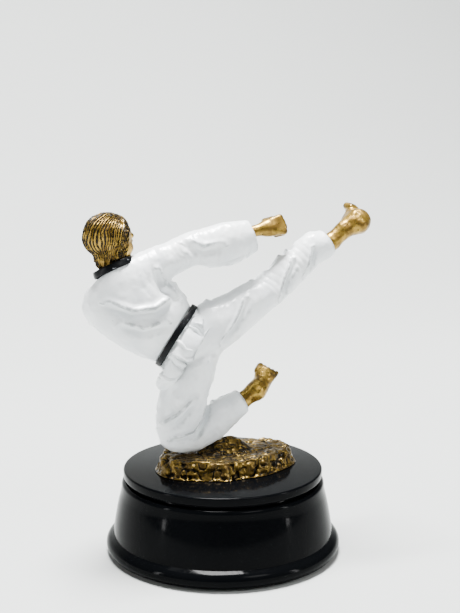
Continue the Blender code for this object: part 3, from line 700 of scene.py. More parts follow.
TORSO = [
    waist_ring(-0.5, 10.6, 8.0),
    waist_ring(1.2, 10.8, 8.2),
    tilted_ring(-3.7, 2.6, 50.0, 12.0, 9.0, 0.1),
    tilted_ring(-8.9, 6.4, 41.0, 13.6, 9.7, 0.3),
    tilted_ring(-14.5, 11.4, 34.0, 14.2, 9.4, 0.4),
    tilted_ring(-18.3, 17.0, 31.0, 12.8, 8.2, 0.4),
    tilted_ring(-20.1, 20.8, 29.0, 9.6, 6.6, 0.5),
    tilted_ring(-20.8, 22.6, 27.5, 6.6, 5.4, 0.5),
]
SLEEVE_RIGHT = [
    (-3.0, 0.0, 5.0, 5.6), (1.0, 0.3, 5.6, 5.8), (6.0, 0.6, 5.7, 5.6), (12.0, 0.9, 5.7, 5.4),
    (17.5, 1.7, 5.6, 5.2), (22.0, 1.8, 5.8, 5.0), (26.0, 0.8, 6.7, 5.2), (31.0, 0.1, 7.2, 5.3),
    (35.5, -0.2, 7.0, 5.1), (39.5, -0.3, 6.3, 4.8), (42.5, -0.2, 5.4, 4.4),
]
SHOULDER_LEFT = [
    (WAIST + (-24.2, 1.5, 15.6), np.array([5.8, 0, 0.5]), np.array([0, 5.6, 0])),
    (WAIST + (-24.6, 5.2, 9.8), np.array([5.5, 0, 0.4]), np.array([0, 4.4, 3.4])),
    (WAIST + (-22.6, 8.6, 4.6), np.array([5.0, 0, -1.2]), np.array([0.6, 3.8, 3.2])),
]
FOREARM_LEFT = [
    (WAIST + (-22.4, 8.8, 3.8), np.array([3.3, 0, -3.9]), np.array([0, 5.0, 0])),
    (WAIST + (-17.8, 12.2, 7.0), np.array([3.1, 0, -3.7]), np.array([-1.0, 4.7, 0])),
    (WAIST + (-13.0, 14.2, 11.0), np.array([2.9, 0, -3.4]), np.array([-1.0, 4.3, 0])),
]
ALONG_WAIST = np.array([math.cos(math.radians(WAIST_SLOPE)), 0.0, math.sin(math.radians(WAIST_SLOPE))])


def skirt_ring(shift, half_u, half_w, hang):
    """A ring of the skirt, pushed out by hang at its low end."""
    middle, u, w = waist_ring(shift, half_u, half_w)
    return middle - ALONG_WAIST * hang, u, w


SKIRT = [
    skirt_ring(0.0, 10.4, 8.0, 0.0), skirt_ring(-1.5, 11.2, 8.6, 0.4), skirt_ring(-2.8, 14.2, 10.2, 2.6),
    skirt_ring(-4.6, 15.3, 11.0, 3.2), skirt_ring(-6.6, 15.3, 11.4, 2.9), skirt_ring(-8.8, 14.8, 11.5, 2.2),
]
SKIRT_CLOTH = 1.0


def flutes(t, angle):
    """The skirt's soft waves, growing towards its hem."""
    return 1 + t * (0.030 * np.sin(5 * angle + 0.4) + 0.022 * np.sin(9 * angle + 1.9))


def thinner(rings, wall):
    """The same rings, drawn in by a wall's thickness."""
    return [(c, u * (1 - wall / np.linalg.norm(u)), w * (1 - wall / np.linalg.norm(w))) for c, u, w in rings]


def inner_rings(rings, wall, lengthen):
    """The rings of a cuff's inside, running past its end."""
    rows = thinner(rings, wall)
    out = (rows[-1][0] - rows[-2][0]) / np.linalg.norm(rows[-1][0] - rows[-2][0])
    rows.append((rows[-1][0] + out * lengthen, rows[-1][1], rows[-1][2]))
    return rows


def jacket_clay():
    clay = Clay(WAIST + (-34.0, -15.0, -20.0), WAIST + (30.0, 22.0, 40.0), CLOTH_VOXEL)
    clay.add(loft(TORSO))
    right = ARM.rings(SLEEVE_RIGHT)
    clay.add(loft(right, domes=(3.0, 0.0)), 2.2)
    clay.add(loft(SHOULDER_LEFT, domes=(4.0, 3.0)), 2.0)
    clay.add(loft(FOREARM_LEFT, domes=(3.0, 0.0)), 1.2)
    skirt = Clay(clay.low, clay.low, CLOTH_VOXEL)
    skirt.field = np.full_like(clay.field, clay.REACH * clay.voxel)
    skirt.add(loft(SKIRT, sides=72, wave=flutes))
    inside = [(c - WAIST_UP * 0.5, u, w) for c, u, w in thinner(SKIRT, SKIRT_CLOTH)]
    inside.append((inside[-1][0] - WAIST_UP * 4, inside[-1][1], inside[-1][2]))
    skirt.carve(loft(inside, sides=72, wave=flutes), 0.2)
    clay.field = soft_min(clay.field, skirt.field, 0.3)
    clay.carve(loft(inner_rings(right[-4:], 0.9, 3.0)), 0.4)
    clay.carve(loft(inner_rings(FOREARM_LEFT[-2:], 0.9, 3.0)), 0.4)
    neck = [(NECK[0] + (NECK[1] - NECK[0]) * share, np.array([4.2, 0, 1.0]), np.array([0, 4.1, 0]))
            for share in (0.25, 1.2)]
    clay.carve(loft(neck), 0.3)
    clay.blur(1)
    return clay.carve(belt_solid(BELT_WIDTH + 0.3, 2.4), 0.25)


# Folds of the jacket: paths from the waist's middle as (x, z), then height, width and side of the body.
BACK, FRONT = -1, 1
JACKET_FOLDS = [
    # creases fanning from the right armpit
    ([(-12.5, 22.0), (-11.5, 17.0), (-10.5, 14.0), (-8.5, 12.5)], 0.6, 0.9, BACK),
    ([(-8.5, 21.5), (-8.5, 16.5), (-7.5, 13.5), (-5.0, 12.0)], 0.6, 0.9, BACK),
    ([(-5.5, 22.0), (-4.5, 24.5), (-2.5, 27.5), (0.0, 30.0)], 0.5, 0.9, BACK),
    ([(-2.5, 18.5), (-1.0, 15.0), (1.0, 12.5), (4.0, 10.5)], 0.6, 0.9, BACK),
    # long rolls above the belt
    ([(-14.5, 14.0), (-12.0, 11.0), (-9.5, 9.0), (-6.0, 8.0), (-2.0, 8.5)], 1.0, 1.4, BACK),
    ([(-17.5, 7.5), (-15.0, 5.0), (-11.0, 3.0), (-8.0, 2.0), (-4.5, 3.0)], 0.8, 1.6, BACK),
    ([(-6.0, -1.0), (-9.0, -2.5), (-12.0, -2.5)], 0.5, 1.3, BACK),
    # the bent arm lying along the ribs
    ([(-26.5, 3.5), (-22.5, 0.0), (-18.5, -2.5)], 0.9, 0.9, BACK),
    # knobs of the skirt
    ([(6.0, 0.5), (4.5, 3.0), (2.0, 4.0), (-0.5, 2.5), (-1.0, 0.0), (0.5, -2.6), (3.0, -3.0), (5.6, -1.5)],
     0.8, 0.9, BACK),
    ([(0.0, 0.5), (2.0, 0.0)], 0.5, 0.9, BACK),
    ([(8.0, 7.5), (4.5, 6.5), (1.5, 7.0)], 0.6, 1.2, BACK),
    ([(-3.5, -4.5), (-2.0, -6.5), (0.5, -8.0), (3.0, -6.5)], 0.8, 1.1, BACK),
    ([(-7.5, -10.5), (-4.5, -12.5), (-1.0, -12.0)], 0.6, 1.1, BACK),
    # the outstretched sleeve
    ([(11.5, 24.5), (15.5, 23.5), (21.0, 25.0), (24.5, 27.0)], 0.5, 1.6, BACK),
    ([(2.0, 25.0), (5.0, 27.5), (8.5, 29.5)], 0.35, 1.4, BACK),
    ([(24.0, 25.5), (25.0, 29.0), (25.0, 32.5)], 0.35, 0.6, BACK),
    ([(3.0, 30.0), (8.0, 28.0), (14.0, 29.0)], 0.5, 1.4, FRONT),
    # across the chest
    ([(-24.0, 12.0), (-17.0, 9.0), (-9.0, 9.5), (-3.0, 12.5)], 0.9, 1.4, FRONT),
    ([(-20.0, 5.0), (-13.0, 3.0), (-6.0, 5.0)], 0.7, 1.4, FRONT),
    ([(-8.0, 22.0), (-6.0, 17.0), (-1.0, 13.0)], 0.7, 1.1, FRONT),
    ([(-4.0, -6.0), (0.0, -8.5), (5.0, -7.0)], 0.7, 1.2, FRONT),
    ([(3.0, 4.0), (7.0, 2.0), (9.0, 6.0)], 0.6, 1.2, FRONT),
]
TROUSER_FOLDS = [
    # slanting ridges over the folded thigh, and the crease behind the knee
    ([(-6.5, -26.0), (-4.0, -23.5), (-1.0, -21.5)], 0.35, 0.7, BACK),
    ([(-5.5, -30.0), (-1.5, -26.0), (2.5, -22.5)], 0.6, 1.2, BACK),
    ([(-5.5, -33.0), (-1.0, -29.5), (3.0, -25.5), (5.5, -22.0)], 0.55, 1.1, BACK),
    ([(0.0, -34.0), (4.0, -32.5), (6.5, -29.0), (8.0, -25.0), (9.5, -21.0)], 0.8, 1.0, BACK),
    ([(3.5, -33.5), (7.0, -31.5)], 0.4, 0.7, BACK),
    ([(10.0, -11.5), (6.0, -15.0), (1.5, -19.0)], 0.5, 1.6, BACK),
    ([(13.0, -23.0), (16.0, -21.5), (18.5, -20.0)], 0.35, 0.6, BACK),
    ([(11.0, -22.5), (11.5, -26.0), (12.5, -30.0)], 0.35, 1.0, BACK),
    ([(-6.0, -30.0), (-1.0, -26.0), (4.0, -21.0)], 0.6, 1.2, FRONT),
    ([(-3.0, -34.0), (4.0, -32.5), (8.0, -27.0), (10.0, -21.0)], 0.8, 1.0, FRONT),
    # pulls along the raised leg, gathered behind the knee and above the cuff
    ([(17.0, 0.5), (18.5, 5.5), (20.5, 11.0)], 0.45, 0.8, BACK),
    ([(10.5, 1.0), (11.5, 6.5), (12.5, 11.5)], 0.45, 0.8, BACK),
    ([(21.0, 4.5), (23.0, 8.0), (25.0, 12.0)], 0.4, 0.9, BACK),
    ([(36.0, 12.0), (37.0, 15.5), (38.0, 19.0), (40.0, 23.5)], 0.5, 0.7, BACK),
    ([(45.0, 18.0), (47.0, 21.0), (48.0, 25.0)], 0.5, 0.7, BACK),
    ([(42.0, 22.0), (41.0, 26.5), (39.5, 28.5)], 0.5, 0.9, BACK),
    ([(37.5, 22.5), (38.0, 25.5), (37.5, 28.0)], 0.4, 0.8, BACK),
    ([(32.0, 20.0), (33.5, 23.0), (33.0, 25.5)], 0.5, 0.8, BACK),
    ([(27.5, 16.5), (28.5, 20.0), (28.0, 22.0)], 0.45, 0.8, BACK),
    ([(14.0, -2.0), (19.0, 4.0), (23.0, 11.0)], 0.6, 1.0, FRONT),
    ([(35.0, 11.0), (37.0, 17.0), (40.0, 23.0)], 0.6, 0.9, FRONT),
    ([(44.0, 18.0), (46.0, 22.0), (47.0, 27.0)], 0.5, 0.8, FRONT),
]


def wrinkles(points, bone, start, end, spacing, height, seed):
    """Cross-ways puckers round a limb between two places along it."""
    along = (points - bone.start) @ bone.along
    up = (points - bone.start) @ bone.up
    side = (points - bone.start) @ bone.side
    away = np.hypot(up, side)
    window = ramp(along, start - 1.5, start + 1.0) * (1 - ramp(along, end - 1.0, end + 1.5)) * (away < 13.0)
    angle = np.arctan2(up, side)
    slant = 1.3 * np.sin(angle + seed) + 0.9 * np.sin(2 * angle + 2.1 * seed)
    wobble = noise(points, 5.0, seed) * 1.6
    wave = np.sin(math.tau * (along + slant + wobble) / spacing)
    lively = 0.5 + 0.5 * noise(points, 6.5, seed + 7)
    return window * lively * height * (1 - 2 * np.abs(wave) ** 0.7)


def dress(clay, name, folds, puckers):
    """Turns clay into a folded cloth mesh."""
    points, quads = clay.mesh()
    points = relax(points, quads, 2, 0.5)
    out = normals_of(points, quads)
    rise, cut = fold_heights(points, out, folds)
    for pucker in puckers:
        rise += wrinkles(points, *pucker)
    rise += 0.27 * noise(points, 5.5, 5) + 0.15 * noise(points, 2.4, 6) + 0.06 * noise(points, 1.1, 7)
    points = points + out * rise[:, None]
    points = relax(points, quads, 1, 0.4)
    # The groove value marks hollows and fold valleys, which the white paint darkens as painted shade.
    return make_piece(name, points, quads, hollows(points, quads, 12) + 0.10 * ramp(cut, 0.2, 0.9))


def jacket():
    puckers = [
        (ARM, 1.0, 12.0, 5.4, 0.10, 1), (ARM, 15.0, 25.0, 4.4, 0.12, 2), (ARM, 27.0, 40.0, 6.2, 0.08, 3),
    ]
    piece = dress(jacket_clay(), "suit_jacket", JACKET_FOLDS, puckers)
    finish_piece(piece, WHITE, "white_paint", "jacket_body", "right_sleeve", "left_sleeve", "jacket_skirt")


TROUSER_KICK = [
    (-5.0, -1.0, 8.6, 8.2), (4.0, -0.8, 8.9, 8.0), (12.0, -1.2, 7.6, 7.1), (20.0, -1.3, 6.6, 6.4),
    (28.0, -1.0, 6.1, 5.9), (35.0, 0.2, 6.1, 5.6), (40.0, 0.8, 5.8, 5.3), (45.0, 1.9, 5.6, 5.2),
    (49.0, 2.0, 5.6, 5.1), (51.6, 1.4, 5.0, 4.7), (53.4, 1.3, 4.4, 4.3),
]
TROUSER_SEAT = [
    waist_ring(-0.8, 9.6, 7.2), waist_ring(-3.0, 10.2, 8.2), waist_ring(-6.0, 10.8, 8.9),
    waist_ring(-9.0, 10.0, 8.4), waist_ring(-11.5, 7.0, 6.6),
]


def knee_ring(x, z, slope, half_u, half_w, y=0.0):
    """A ring given from the tucked knee's middle."""
    a = math.radians(slope)
    return KNEE + (x, y, z), np.array([math.cos(a), 0.0, math.sin(a)]) * half_u, np.array([0.0, half_w, 0.0])


THIGH_TUCKED = [
    knee_ring(5.4, 25.3, 18.0, 9.2, 8.0), knee_ring(3.4, 18.6, 14.0, 9.4, 8.0),
    knee_ring(1.3, 11.6, 8.0, 8.3, 7.4), knee_ring(-0.2, 4.7, 0.0, 7.3, 7.0),
    knee_ring(0.0, -1.2, -4.0, 6.6, 6.4),
]
SHIN_TUCKED = [
    knee_ring(0.0, 0.2, 96.0, 6.2, 6.2), knee_ring(5.2, 0.8, 104.0, 6.7, 6.3),
    knee_ring(10.6, 3.0, 115.0, 6.5, 6.0), knee_ring(16.2, 6.4, 118.0, 5.6, 5.4),
    knee_ring(20.4, 8.8, 118.0, 4.7, 4.7), knee_ring(22.6, 9.9, 117.0, 4.1, 4.2),
]


def trouser_clay():
    clay = Clay(WAIST + (-16.0, -13.0, -43.0), WAIST + (59.0, 13.0, 36.0), CLOTH_VOXEL)
    kick = KICK.rings(TROUSER_KICK)
    clay.add(loft(TROUSER_SEAT, domes=(0.0, 2.0)))
    clay.add(loft(kick, domes=(4.0, 0.0)), 2.0)
    clay.add(loft(THIGH_TUCKED, domes=(4.0, 4.6)), 1.6)
    clay.add(loft(SHIN_TUCKED, domes=(3.5, 0.0)), 0.7)
    clay.keep_below(WAIST - WAIST_UP * 1.0, WAIST_UP)
    clay.carve(loft(inner_rings(kick[-3:], 0.8, 3.0)), 0.4)
    clay.carve(loft(inner_rings(SHIN_TUCKED[-2:], 0.8, 3.0)), 0.4)
    return clay.blur(1)


SHIN = Bone(KNEE, KNEE + (22.6, 0.0, 9.9))


def trousers():
    puckers = [
        (KICK, 26.0, 45.0, 4.6, 0.16, 11), (SHIN, 12.0, 21.0, 5.2, 0.10, 14),
    ]
    piece = dress(trouser_clay(), "suit_trousers", TROUSER_FOLDS, puckers)
    finish_piece(piece, WHITE, "white_paint", "trouser_seat", "kick_leg_trouser", "tucked_leg_trouser")


# ---------------------------------------------------------------- belt and neckband


BELT_WIDTH = 2.1
BELT_HALF = (11.25, 8.75)


def strap(middle, u, w, width, thick, wobble=0.0):
    """A flat strip run round an oval, a little wavy, with rounded edges. Returns points and quads."""
    turns, around = 160, 16
    up = np.cross(u, w)
    up /= np.linalg.norm(up)
    points = []
    for a in np.linspace(0, math.tau, turns, endpoint=False):
        spot = middle + u * math.cos(a) + w * math.sin(a)
        out = u * math.cos(a) / (u @ u) + w * math.sin(a) / (w @ w)
        out /= np.linalg.norm(out)
        lift = wobble * math.sin(3 * a + 0.7)
        for b in np.linspace(0, math.tau, around, endpoint=False):
            high = math.copysign(abs(math.sin(b)) ** 0.55, math.sin(b)) * width / 2
            deep = math.copysign(abs(math.cos(b)) ** 0.55, math.cos(b)) * thick / 2
            points.append(spot + up * (high + lift) + out * deep)
    return np.array(points), ring_quads(turns, around)


def belt_solid(width, thick):
    points, quads = strap(*waist_ring(0.0, *BELT_HALF), width, thick)
    return points, quads, np.empty((0, 3), int)


def ring_quads(rows, columns):
    """Quads of a grid of points that closes on itself both ways."""
    r, c = np.meshgrid(np.arange(rows), np.arange(columns), indexing="ij")
    rn, cn = (r + 1) % rows, (c + 1) % columns
    corners = [r * columns + c, rn * columns + c, rn * columns + cn, r * columns + cn]
    return np.stack(corners, -1).reshape(-1, 4)


def belt():
    points, quads = strap(*waist_ring(0.0, *BELT_HALF), BELT_WIDTH, 0.95, 0.12)
    out = normals_of(points, quads)
    points = points + out * (0.08 * noise(points, 1.6, 61) + 0.05 * noise(points, 0.8, 62))[:, None]
    finish_piece(make_piece("belt_band", points, quads), BLACK, "black_paint", "belt")


# The belt's hanging ends, as steps from the knot.
TAILS = {
    "belt_tail_upper": [(0.4, 0.6, -1.0), (3.4, 2.4, -6.6), (5.6, 3.5, -11.2), (6.4, 3.4, -15.4)],
    "belt_tail_lower": [(-1.6, 0.6, -1.0), (-2.6, 2.4, -6.4), (-1.2, 3.5, -11.0), (-1.8, 3.8, -14.8)],
}


def knot_and_tails():
    knot = centre("belt_knot")
    out = np.array([0.0, 1.0, 0.0])
    clay = Clay(knot - 5, knot + 5, 0.15)
    clay.add(egg(knot, ALONG_WAIST * 2.4, WAIST_UP * 1.8, out * 1.4))
    turn_start = knot - ALONG_WAIST * 1.7 + out * 0.5
    turn_end = knot + ALONG_WAIST * 1.5 + out * 0.9 + WAIST_UP * 0.7
    clay.add(rod(turn_start, turn_end, 0.95), 0.2)
    crease_start = knot - ALONG_WAIST * 2.4 + out * 1.5 - WAIST_UP * 0.9
    crease_end = knot + ALONG_WAIST * 2.4 + out * 1.6
    clay.carve(rod(crease_start, crease_end, 0.3), 0.2)
    points, quads = clay.mesh()
    finish_piece(make_piece("belt_knot_wrap", points, quads), BLACK, "black_paint", "belt_knot")
    for name, steps in TAILS.items():
        rings = [(knot + step, np.array([1.2, 0.0, 0.25]), out * 0.42) for step in np.array(steps)]
        clay = Clay(knot + (-8, -4, -20), knot + (11, 8, 3), 0.15)
        clay.add(loft(rings, sides=48, wave=lambda t, a: 1 + 0.08 * math.sin(9 * t) * np.cos(a)))
        points, quads = clay.mesh()
        points = points + normals_of(points, quads) * (0.05 * noise(points, 1.5, 66))[:, None]
        finish_piece(make_piece(name + "_strap", points, quads), BLACK, "black_paint", name)


NECKBAND = tilted_ring(-20.7, 23.9, 21.0, 6.9, 5.9, 0.5, math.radians(17.0))


# The neckband's two runs down the chest, as steps from its middle.
LAPELS = (
    [(4.4, 4.0, 0.6), (5.8, 7.6, -4.0), (7.6, 9.6, -11.0), (10.6, 9.7, -17.6), (14.4, 9.4, -22.6)],
    [(-3.8, 4.2, -3.0), (-0.8, 7.8, -7.8), (4.4, 9.8, -12.8), (11.2, 9.8, -16.8), (17.0, 9.3, -19.2)],
)


def collar():
    """The neckband standing round the neck, and its two runs down the chest."""
    low, high = box("collar")
    clay = Clay(low - 2, high + 2, 0.2)
    middle, u, w = NECKBAND
    up = np.cross(u, w)
    up /= np.linalg.norm(up)
    ring = [(middle + up * shift, u * grow, w * grow)
            for shift, grow in ((-1.4, 1.05), (-0.2, 1.03), (0.9, 0.98))]
    core = [(middle + up * shift, u * 0.84, w * 0.82) for shift in (-3.4, 0.0, 2.4)]
    clay.add(loft(ring))
    clay.carve(loft(core), 0.4)
    for run in LAPELS:
        places = [NECKBAND[0] + step for step in run]
        for a, b in zip(places, places[1:]):
            lie = (b - a) / np.linalg.norm(b - a)
            across = np.cross(lie, (0.0, 1.0, 0.0))
            rings = [(place, across * 1.7, np.cross(across, lie) * 0.8)
                     for place in (a - lie * 0.4, b + lie * 0.4)]
            clay.add(loft(rings, domes=(0.3, 0.3)), 0.35)
    clay.blur(1)
    points, quads = clay.mesh()
    points = points + normals_of(points, quads) * (0.07 * noise(points, 1.8, 65))[:, None]
    finish_piece(make_piece("neckband", points, quads), BLACK, "black_paint", "collar")


# ---------------------------------------------------------------- head, hands and feet


HEAD_SCALE = 1.11
HAIR_STRANDS = 58


def head():
    yaw = math.radians(20.0)
    f = np.array([math.cos(yaw), math.sin(yaw), 0.0])
    s = np.array([-math.sin(yaw), math.cos(yaw), 0.0])
    z = np.array([0.0, 0.0, 1.0])

    def at(forward, side, up):
        return HEAD_MIDDLE + (f * forward + s * side + z * up) * HEAD_SCALE

    def oval(forward, side, up, a, b, c):
        return egg(at(forward, side, up), f * a * HEAD_SCALE, s * b * HEAD_SCALE, z * c * HEAD_SCALE)

    clay = Clay(HEAD_MIDDLE - (13, 11, 15), HEAD_MIDDLE + (13, 11, 11.5), SKIN_VOXEL)
    clay.add(oval(-0.7, 0, 1.9, 7.7, 6.3, 6.9))
    clay.add(oval(1.9, 0, -2.6, 5.0, 4.8, 6.2), 2.0)
    for side in (-1, 1):
        clay.add(rod(at(0.0, 4.2 * side, -4.0), at(5.2, 1.0 * side, -7.2), 1.5, 1.2), 1.6)
        clay.add(oval(4.8, 3.0 * side, -2.0, 1.6, 1.4, 1.6), 1.4)
    clay.add(oval(5.7, 0, -7.5, 1.4, 1.6, 1.3), 1.2)
    clay.add(rod(at(6.3, -2.9, 1.5), at(6.3, 2.9, 1.5), 0.7), 1.0)
    for side in (-1, 1):
        clay.carve(oval(7.3, 2.0 * side, -0.1, 1.1, 1.5, 0.9), 0.7)
        clay.add(oval(5.75, 2.05 * side, -0.1, 1.2, 1.3, 0.95), 0.15)
        clay.carve(rod(at(6.8, 1.1 * side, -0.55), at(6.4, 3.1 * side, -0.5), 0.13), 0.12)
    clay.add(rod(at(6.5, 0, 1.0), at(8.0, 0, -2.5), 0.5, 0.75), 0.9)
    for side in (-1, 1):
        clay.add(oval(7.1, 0.75 * side, -2.8, 0.8, 0.55, 0.5), 0.35)
    clay.add(rod(at(6.7, -1.3, -4.5), at(6.7, 1.3, -4.5), 0.42), 0.5)
    clay.add(rod(at(6.6, -1.1, -5.3), at(6.6, 1.1, -5.3), 0.46), 0.5)
    clay.carve(rod(at(7.2, -1.5, -4.9), at(7.2, 1.5, -4.9), 0.14), 0.2)
    base, tip = NECK[0] + (0.4, 0.2, 1.5), at(-1.2, 0, -5.0)
    clay.add(rod(base, tip, 3.9, 3.9), 1.4)
    for side in (-1, 1):
        clay.add(egg(at(0.2, 5.9 * side, -0.9), f * 1.3 + z * 0.3, s * 0.6, z * 2.0 - f * 0.3), 0.25)
    clay.keep_below(NECK[0] + (0, 0, 1.0), (0.3, 0, -1.0))
    clay.blur(1)
    points, quads = clay.mesh()
    points = relax(points, quads, 1, 0.5)
    out = normals_of(points, quads)
    local = (points - HEAD_MIDDLE) / HEAD_SCALE
    forward, side, up = local @ f, local @ s, local @ z
    # Hair covers the crown, sides and back, down to the nape, with the face left clear.
    front_line = 4.0 + 0.8 * np.cos(side * 0.6)
    over_face = ramp(up, front_line - 0.5, front_line + 0.3)
    temple_line = 3.9 - 0.24 * np.clip(-up, 0, 9)
    behind = ramp(temple_line - forward, -0.3, 0.5) * ramp(up, -8.8, -7.8)
    hair = np.clip(np.maximum(over_face, behind), 0, 1)
    # The strands run from the forelock over the crown and sides to the nape.
    pole = f * 0.26 + z * 0.96
    a, b = (local - f * 2.4) @ np.cross(s, pole), side
    turn = np.arctan2(b, a)
    bend = 0.14 * noise(points, 6.0, 41) + 0.05 * noise(points, 2.2, 42)
    comb = HAIR_STRANDS * (turn + bend) / 2
    strands = np.abs(np.sin(comb)) ** 0.7
    locks = np.abs(np.sin(comb / 4 + 0.8 * noise(points, 5.0, 45)))
    broken = ramp(noise(points, 2.6, 43), -0.9, -0.35)
    fade = ramp(np.hypot(a, b), 1.2, 3.2)
    gaps = fade * broken * (1 - strands)
    rise = hair * (0.55 - 0.6 * gaps + 0.35 * fade * locks + 0.12 * noise(points, 2.4, 44))
    forelock = np.exp(-(((forward - 4.6) / 2.4) ** 2 + (side / 3.4) ** 2)) * ramp(up, 3.6, 5.2)
    points = points + out * rise[:, None] + (f * 0.8 + z * 0.35) * (forelock * hair)[:, None]
    # The wash also lies in every dip of the face, and at the hair's edge.
    edge_of_hair = 4 * hair * (1 - hair)
    groove = hollows(points, quads, 8) + 0.26 * hair * ramp(gaps, 0.10, 0.42) + 0.06 * edge_of_hair
    piece = make_piece("figure_head", points, quads, groove)
    finish_piece(piece, GOLD, "antique_gold", "head")


HAND_SCALE = 1.2


def fist(name, node, forward, up, thumb_side, reach):
    """A closed hand.

    forward runs along the forearm, up is the back of the hand, and reach is the wrist's length.
    """
    f = np.array(forward, float) / np.linalg.norm(forward)
    s = np.cross(up, f)
    s /= np.linalg.norm(s)
    z = np.cross(f, s)
    low, high = box(node)
    middle = (low + high) / 2 + f * (reach / 2 - 1.4)

    def at(along, side, height):
        return middle + (f * along + s * side + z * height) * HAND_SCALE

    def finger(start, end, radius_start, radius_end, seam):
        clay.add(rod(at(*start), at(*end), radius_start * HAND_SCALE, radius_end * HAND_SCALE), seam)

    clay = Clay(middle - 15, middle + 8, SKIN_VOXEL)
    clay.add(rod(at(-reach / HAND_SCALE, 0, 0.2), at(-2.6, 0, 0.2), 1.9, 2.1))
    clay.add(egg(at(-1.0, 0, 0.3), f * 4.4, s * 3.1, z * 2.4), 1.6)
    for i in range(4):
        side = (i - 1.5) * 1.35
        knuckle = 2.5 - 0.28 * abs(i - 1.2)
        finger((-0.6, side * 0.8, 1.2), (knuckle - 0.2, side, 0.9), 0.9, 0.95, 0.9)
        finger((knuckle - 0.1, side, 0.8), (knuckle + 0.1, side, -1.5), 0.88, 0.80, 0.3)
        finger((knuckle + 0.1, side, -1.5), (0.3, side, -2.1), 0.78, 0.68, 0.2)
    thumb = thumb_side
    finger((-2.2, 2.0 * thumb, -0.6), (0.4, 2.5 * thumb, -1.6), 1.1, 0.85, 0.6)
    finger((0.4, 2.5 * thumb, -1.6), (2.0, 1.0 * thumb, -2.7), 0.85, 0.72, 0.2)
    clay.blur(1)
    points, quads = clay.mesh()
    points = relax(points, quads, 1, 0.4)
    piece = make_piece(name, points, quads, hollows(points, quads, 8))
    finish_piece(piece, GOLD, "antique_gold", node)


def foot(name, node, shank, heel, toe_way, sole_way, length, wide, deep, curl, big_toe):
    """A bare foot. shank is the leg above it as (place, radius) rows, heel is the heel's middle.

    wide and deep scale its cross-section, curl bends the toes back in degrees, big_toe is the side it lies on.
    """
    f = np.array(toe_way, float) / np.linalg.norm(toe_way)
    d = np.array(sole_way, float)
    d -= f * (d @ f)
    d /= np.linalg.norm(d)
    s = np.cross(f, d)
    low, high = box(node)
    clay = Clay(low - 5, high + 5, SKIN_VOXEL)

    def at(along, side, off):
        """along runs heel to toes, off is how far from the sole's line towards the ankle."""
        return heel + f * along + s * side + d * (2.0 - off)

    for (start, radius_start), (end, radius_end) in zip(shank, shank[1:]):
        clay.add(rod(start, end, radius_start, radius_end), 0.6)
    ankle, ankle_radius = shank[-1]
    clay.add(rod(ankle, at(length * 0.25, 0, 2.4), ankle_radius, 2.2 * deep), 1.6)
    clay.add(egg(at(0.3, 0, 2.0), f * 2.6, s * 2.4, d * 2.4), 1.8)
    arch = [(at(length * t, 0, off * deep), d * thick * deep, s * half * wide) for t, off, thick, half in
            ((0.05, 2.0, 2.0, 0.66), (0.32, 2.0, 2.1, 0.70), (0.55, 1.6, 1.7, 0.88), (0.76, 1.2, 1.3, 1.0))]
    clay.add(loft(arch, domes=(1.0, 1.4)), 1.2)
    bend = math.radians(curl)
    for i in range(5):
        side = (i - 2) * 0.41 * wide * -big_toe
        size = (1.25, 1.05, 1.0, 0.95, 0.9)[i] * wide / 4
        reach = length * (0.21 - 0.018 * i)
        root = at(length * 0.72, side * 0.9, 1.3 * deep)
        tip = root + (f * math.cos(bend) - d * math.sin(bend)) * reach + s * side * 0.1
        clay.add(rod(root, tip, size * 1.2, size), 0.3)
    for side in (-1, 1):
        clay.add(egg(ankle + s * ankle_radius * 0.75 * side, f * 1.1, s * 0.9, d * 1.1), 0.9)
    clay.blur(1)
    points, quads = clay.mesh()
    points = relax(points, quads, 1, 0.4)
    rise = 0.10 * noise(points, 2.2, 71) + 0.05 * noise(points, 0.9, 72)
    points = points + normals_of(points, quads) * rise[:, None]
    groove = hollows(points, quads, 8) + 0.03 * ramp(noise(points, 2.5, 73), 0.3, 0.7)
    piece = make_piece(name, points, quads, groove)
    finish_piece(piece, GOLD, "antique_gold", node)


def feet():
    kick_shank = [(KICK.at(46.0, 1.0), 2.9), (KICK.at(54.5, 0.6), 3.1), (KICK.at(60.4, 1.6), 2.8)]
    foot("figure_kick_foot", "kick_foot", kick_shank, WAIST + (65.0, -1.2, 34.4), (0.20, 0.93, 0.24),
         (0.94, 0.0, 0.34), 12.5, 4.0, 2.1, 24.0, -1)
    tucked_shank = [(KNEE + (18.6, 0.4, 7.2), 2.6), (KNEE + (22.9, 0.2, 10.0), 2.9),
                    (KNEE + (27.2, -0.2, 13.0), 3.0)]
    foot("figure_tucked_foot", "tucked_foot", tucked_shank, KNEE + (27.2, -1.0, 12.8), (0.60, 0.52, 0.60),
         (-0.25, -0.61, 0.73), 11.5, 3.9, 1.4, 14.0, -1)


# ---------------------------------------------------------------- stage, light and camera


def stage():
    """A pale floor that sweeps up into a backdrop well behind the object."""
    bend, flat, rise = 0.9, 0.35, 3.0
    side = [(-3.0, 0.0), (flat, 0.0)]
    turn = np.linspace(0.05, math.pi / 2, 24)
    side += [(flat + bend * math.sin(a), bend * (1 - math.cos(a))) for a in turn]
    side.append((flat + bend, rise))
    shape = bmesh.new()
    rows = [[shape.verts.new((x, y, z)) for x in (-4.0, 4.0)] for y, z in side]
    for low, high in zip(rows, rows[1:]):
        shape.faces.new((low[0], low[1], high[1], high[0]))
    mesh = bpy.data.meshes.new("floor")
    shape.to_mesh(mesh)
    shape.free()
    mesh.shade_smooth()
    floor = bpy.data.objects.new("floor", mesh)
    bpy.context.scene.collection.objects.link(floor)
    mesh.materials.append(floor_paint())


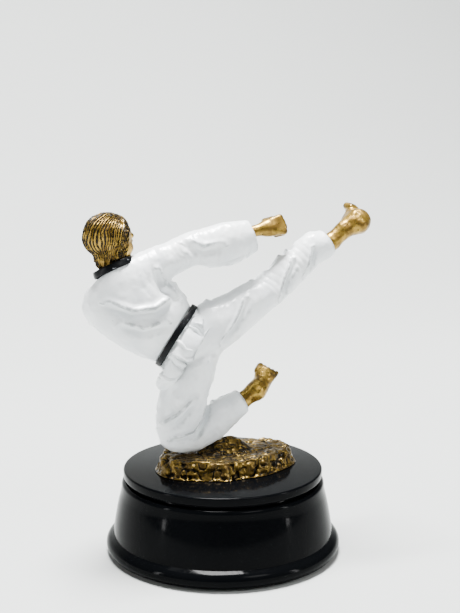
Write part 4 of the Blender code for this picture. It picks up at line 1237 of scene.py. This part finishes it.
def area_light(name, place, target, size, power, colour=(1.0, 1.0, 1.0)):
    light = bpy.data.lights.new(name, "AREA")
    light.shape = "RECTANGLE"
    light.size, light.size_y = size
    light.energy = power
    light.color = colour
    lamp = bpy.data.objects.new(name, light)
    lamp.location = place
    lamp.rotation_euler = (Vector(target) - Vector(place)).to_track_quat("-Z", "Y").to_euler()
    bpy.context.scene.collection.objects.link(lamp)


def lights():
    world = bpy.data.worlds.new("studio")
    world.use_nodes = True
    world.node_tree.nodes["Background"].inputs["Color"].default_value = (0.93, 1.0, 0.98, 1.0)
    world.node_tree.nodes["Background"].inputs["Strength"].default_value = 0.16
    bpy.context.scene.world = world
    middle = (0.0, 0.0, 0.06)
    area_light("top", (-0.02, 0.12, 1.2), middle, (0.4, 0.4), 100.0)
    area_light("above_camera", (0.30, -0.75, 0.9), middle, (0.35, 0.35), 4.5)
    area_light("backdrop", (0.1, 0.35, 1.3), (0.25, 1.6, 0.5), (1.2, 0.5), 9.0)
    area_light("left", (-0.80, -0.12, 0.22), middle, (0.06, 0.40), 2.4)
    area_light("right", (0.62, -0.46, 0.22), middle, (0.06, 0.40), 2.4)


# The camera's place and aim, worked out from the plinth's outline seen in perspective.
CAMERA_PLACE = (-0.1262, -0.3885, 0.1630)
CAMERA_WAY = (0.3090, 0.9321, -0.1891)
CAMERA_LENS = 73.4


def camera():
    data = bpy.data.cameras.new("camera")
    data.lens = CAMERA_LENS
    data.clip_start = 0.01
    view = bpy.data.objects.new("camera", data)
    view.location = CAMERA_PLACE
    view.rotation_euler = Vector(CAMERA_WAY).to_track_quat("-Z", "Y").to_euler()
    bpy.context.scene.collection.objects.link(view)
    bpy.context.scene.camera = view


# ---------------------------------------------------------------- put it together

plinth()
mound()
trousers()
jacket()
belt()
knot_and_tails()
collar()
head()
fist("figure_right_fist", "right_fist", (0.985, 0.0, 0.17), (0.0, -0.93, 0.36), 1, 9.0)
fist("figure_left_fist", "left_fist", (0.743, 0.229, 0.629), (-0.6, 0.5, 0.6), -1, 6.0)
feet()

HIDDEN_METAL = ("base_screw", "base_washer", "base_dowel", "support_rod", "spine_wire", "neck_wire",
                "right_arm_wire", "kick_leg_wire", "left_shoulder_pin", "left_wrist_pin", "tucked_ankle_pin")
for node, look in [("felt_pad", FELT)] + [(name, STEEL) for name in HIDDEN_METAL]:
    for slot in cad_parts[node].material_slots:
        slot.material = look

stage()
lights()
camera()
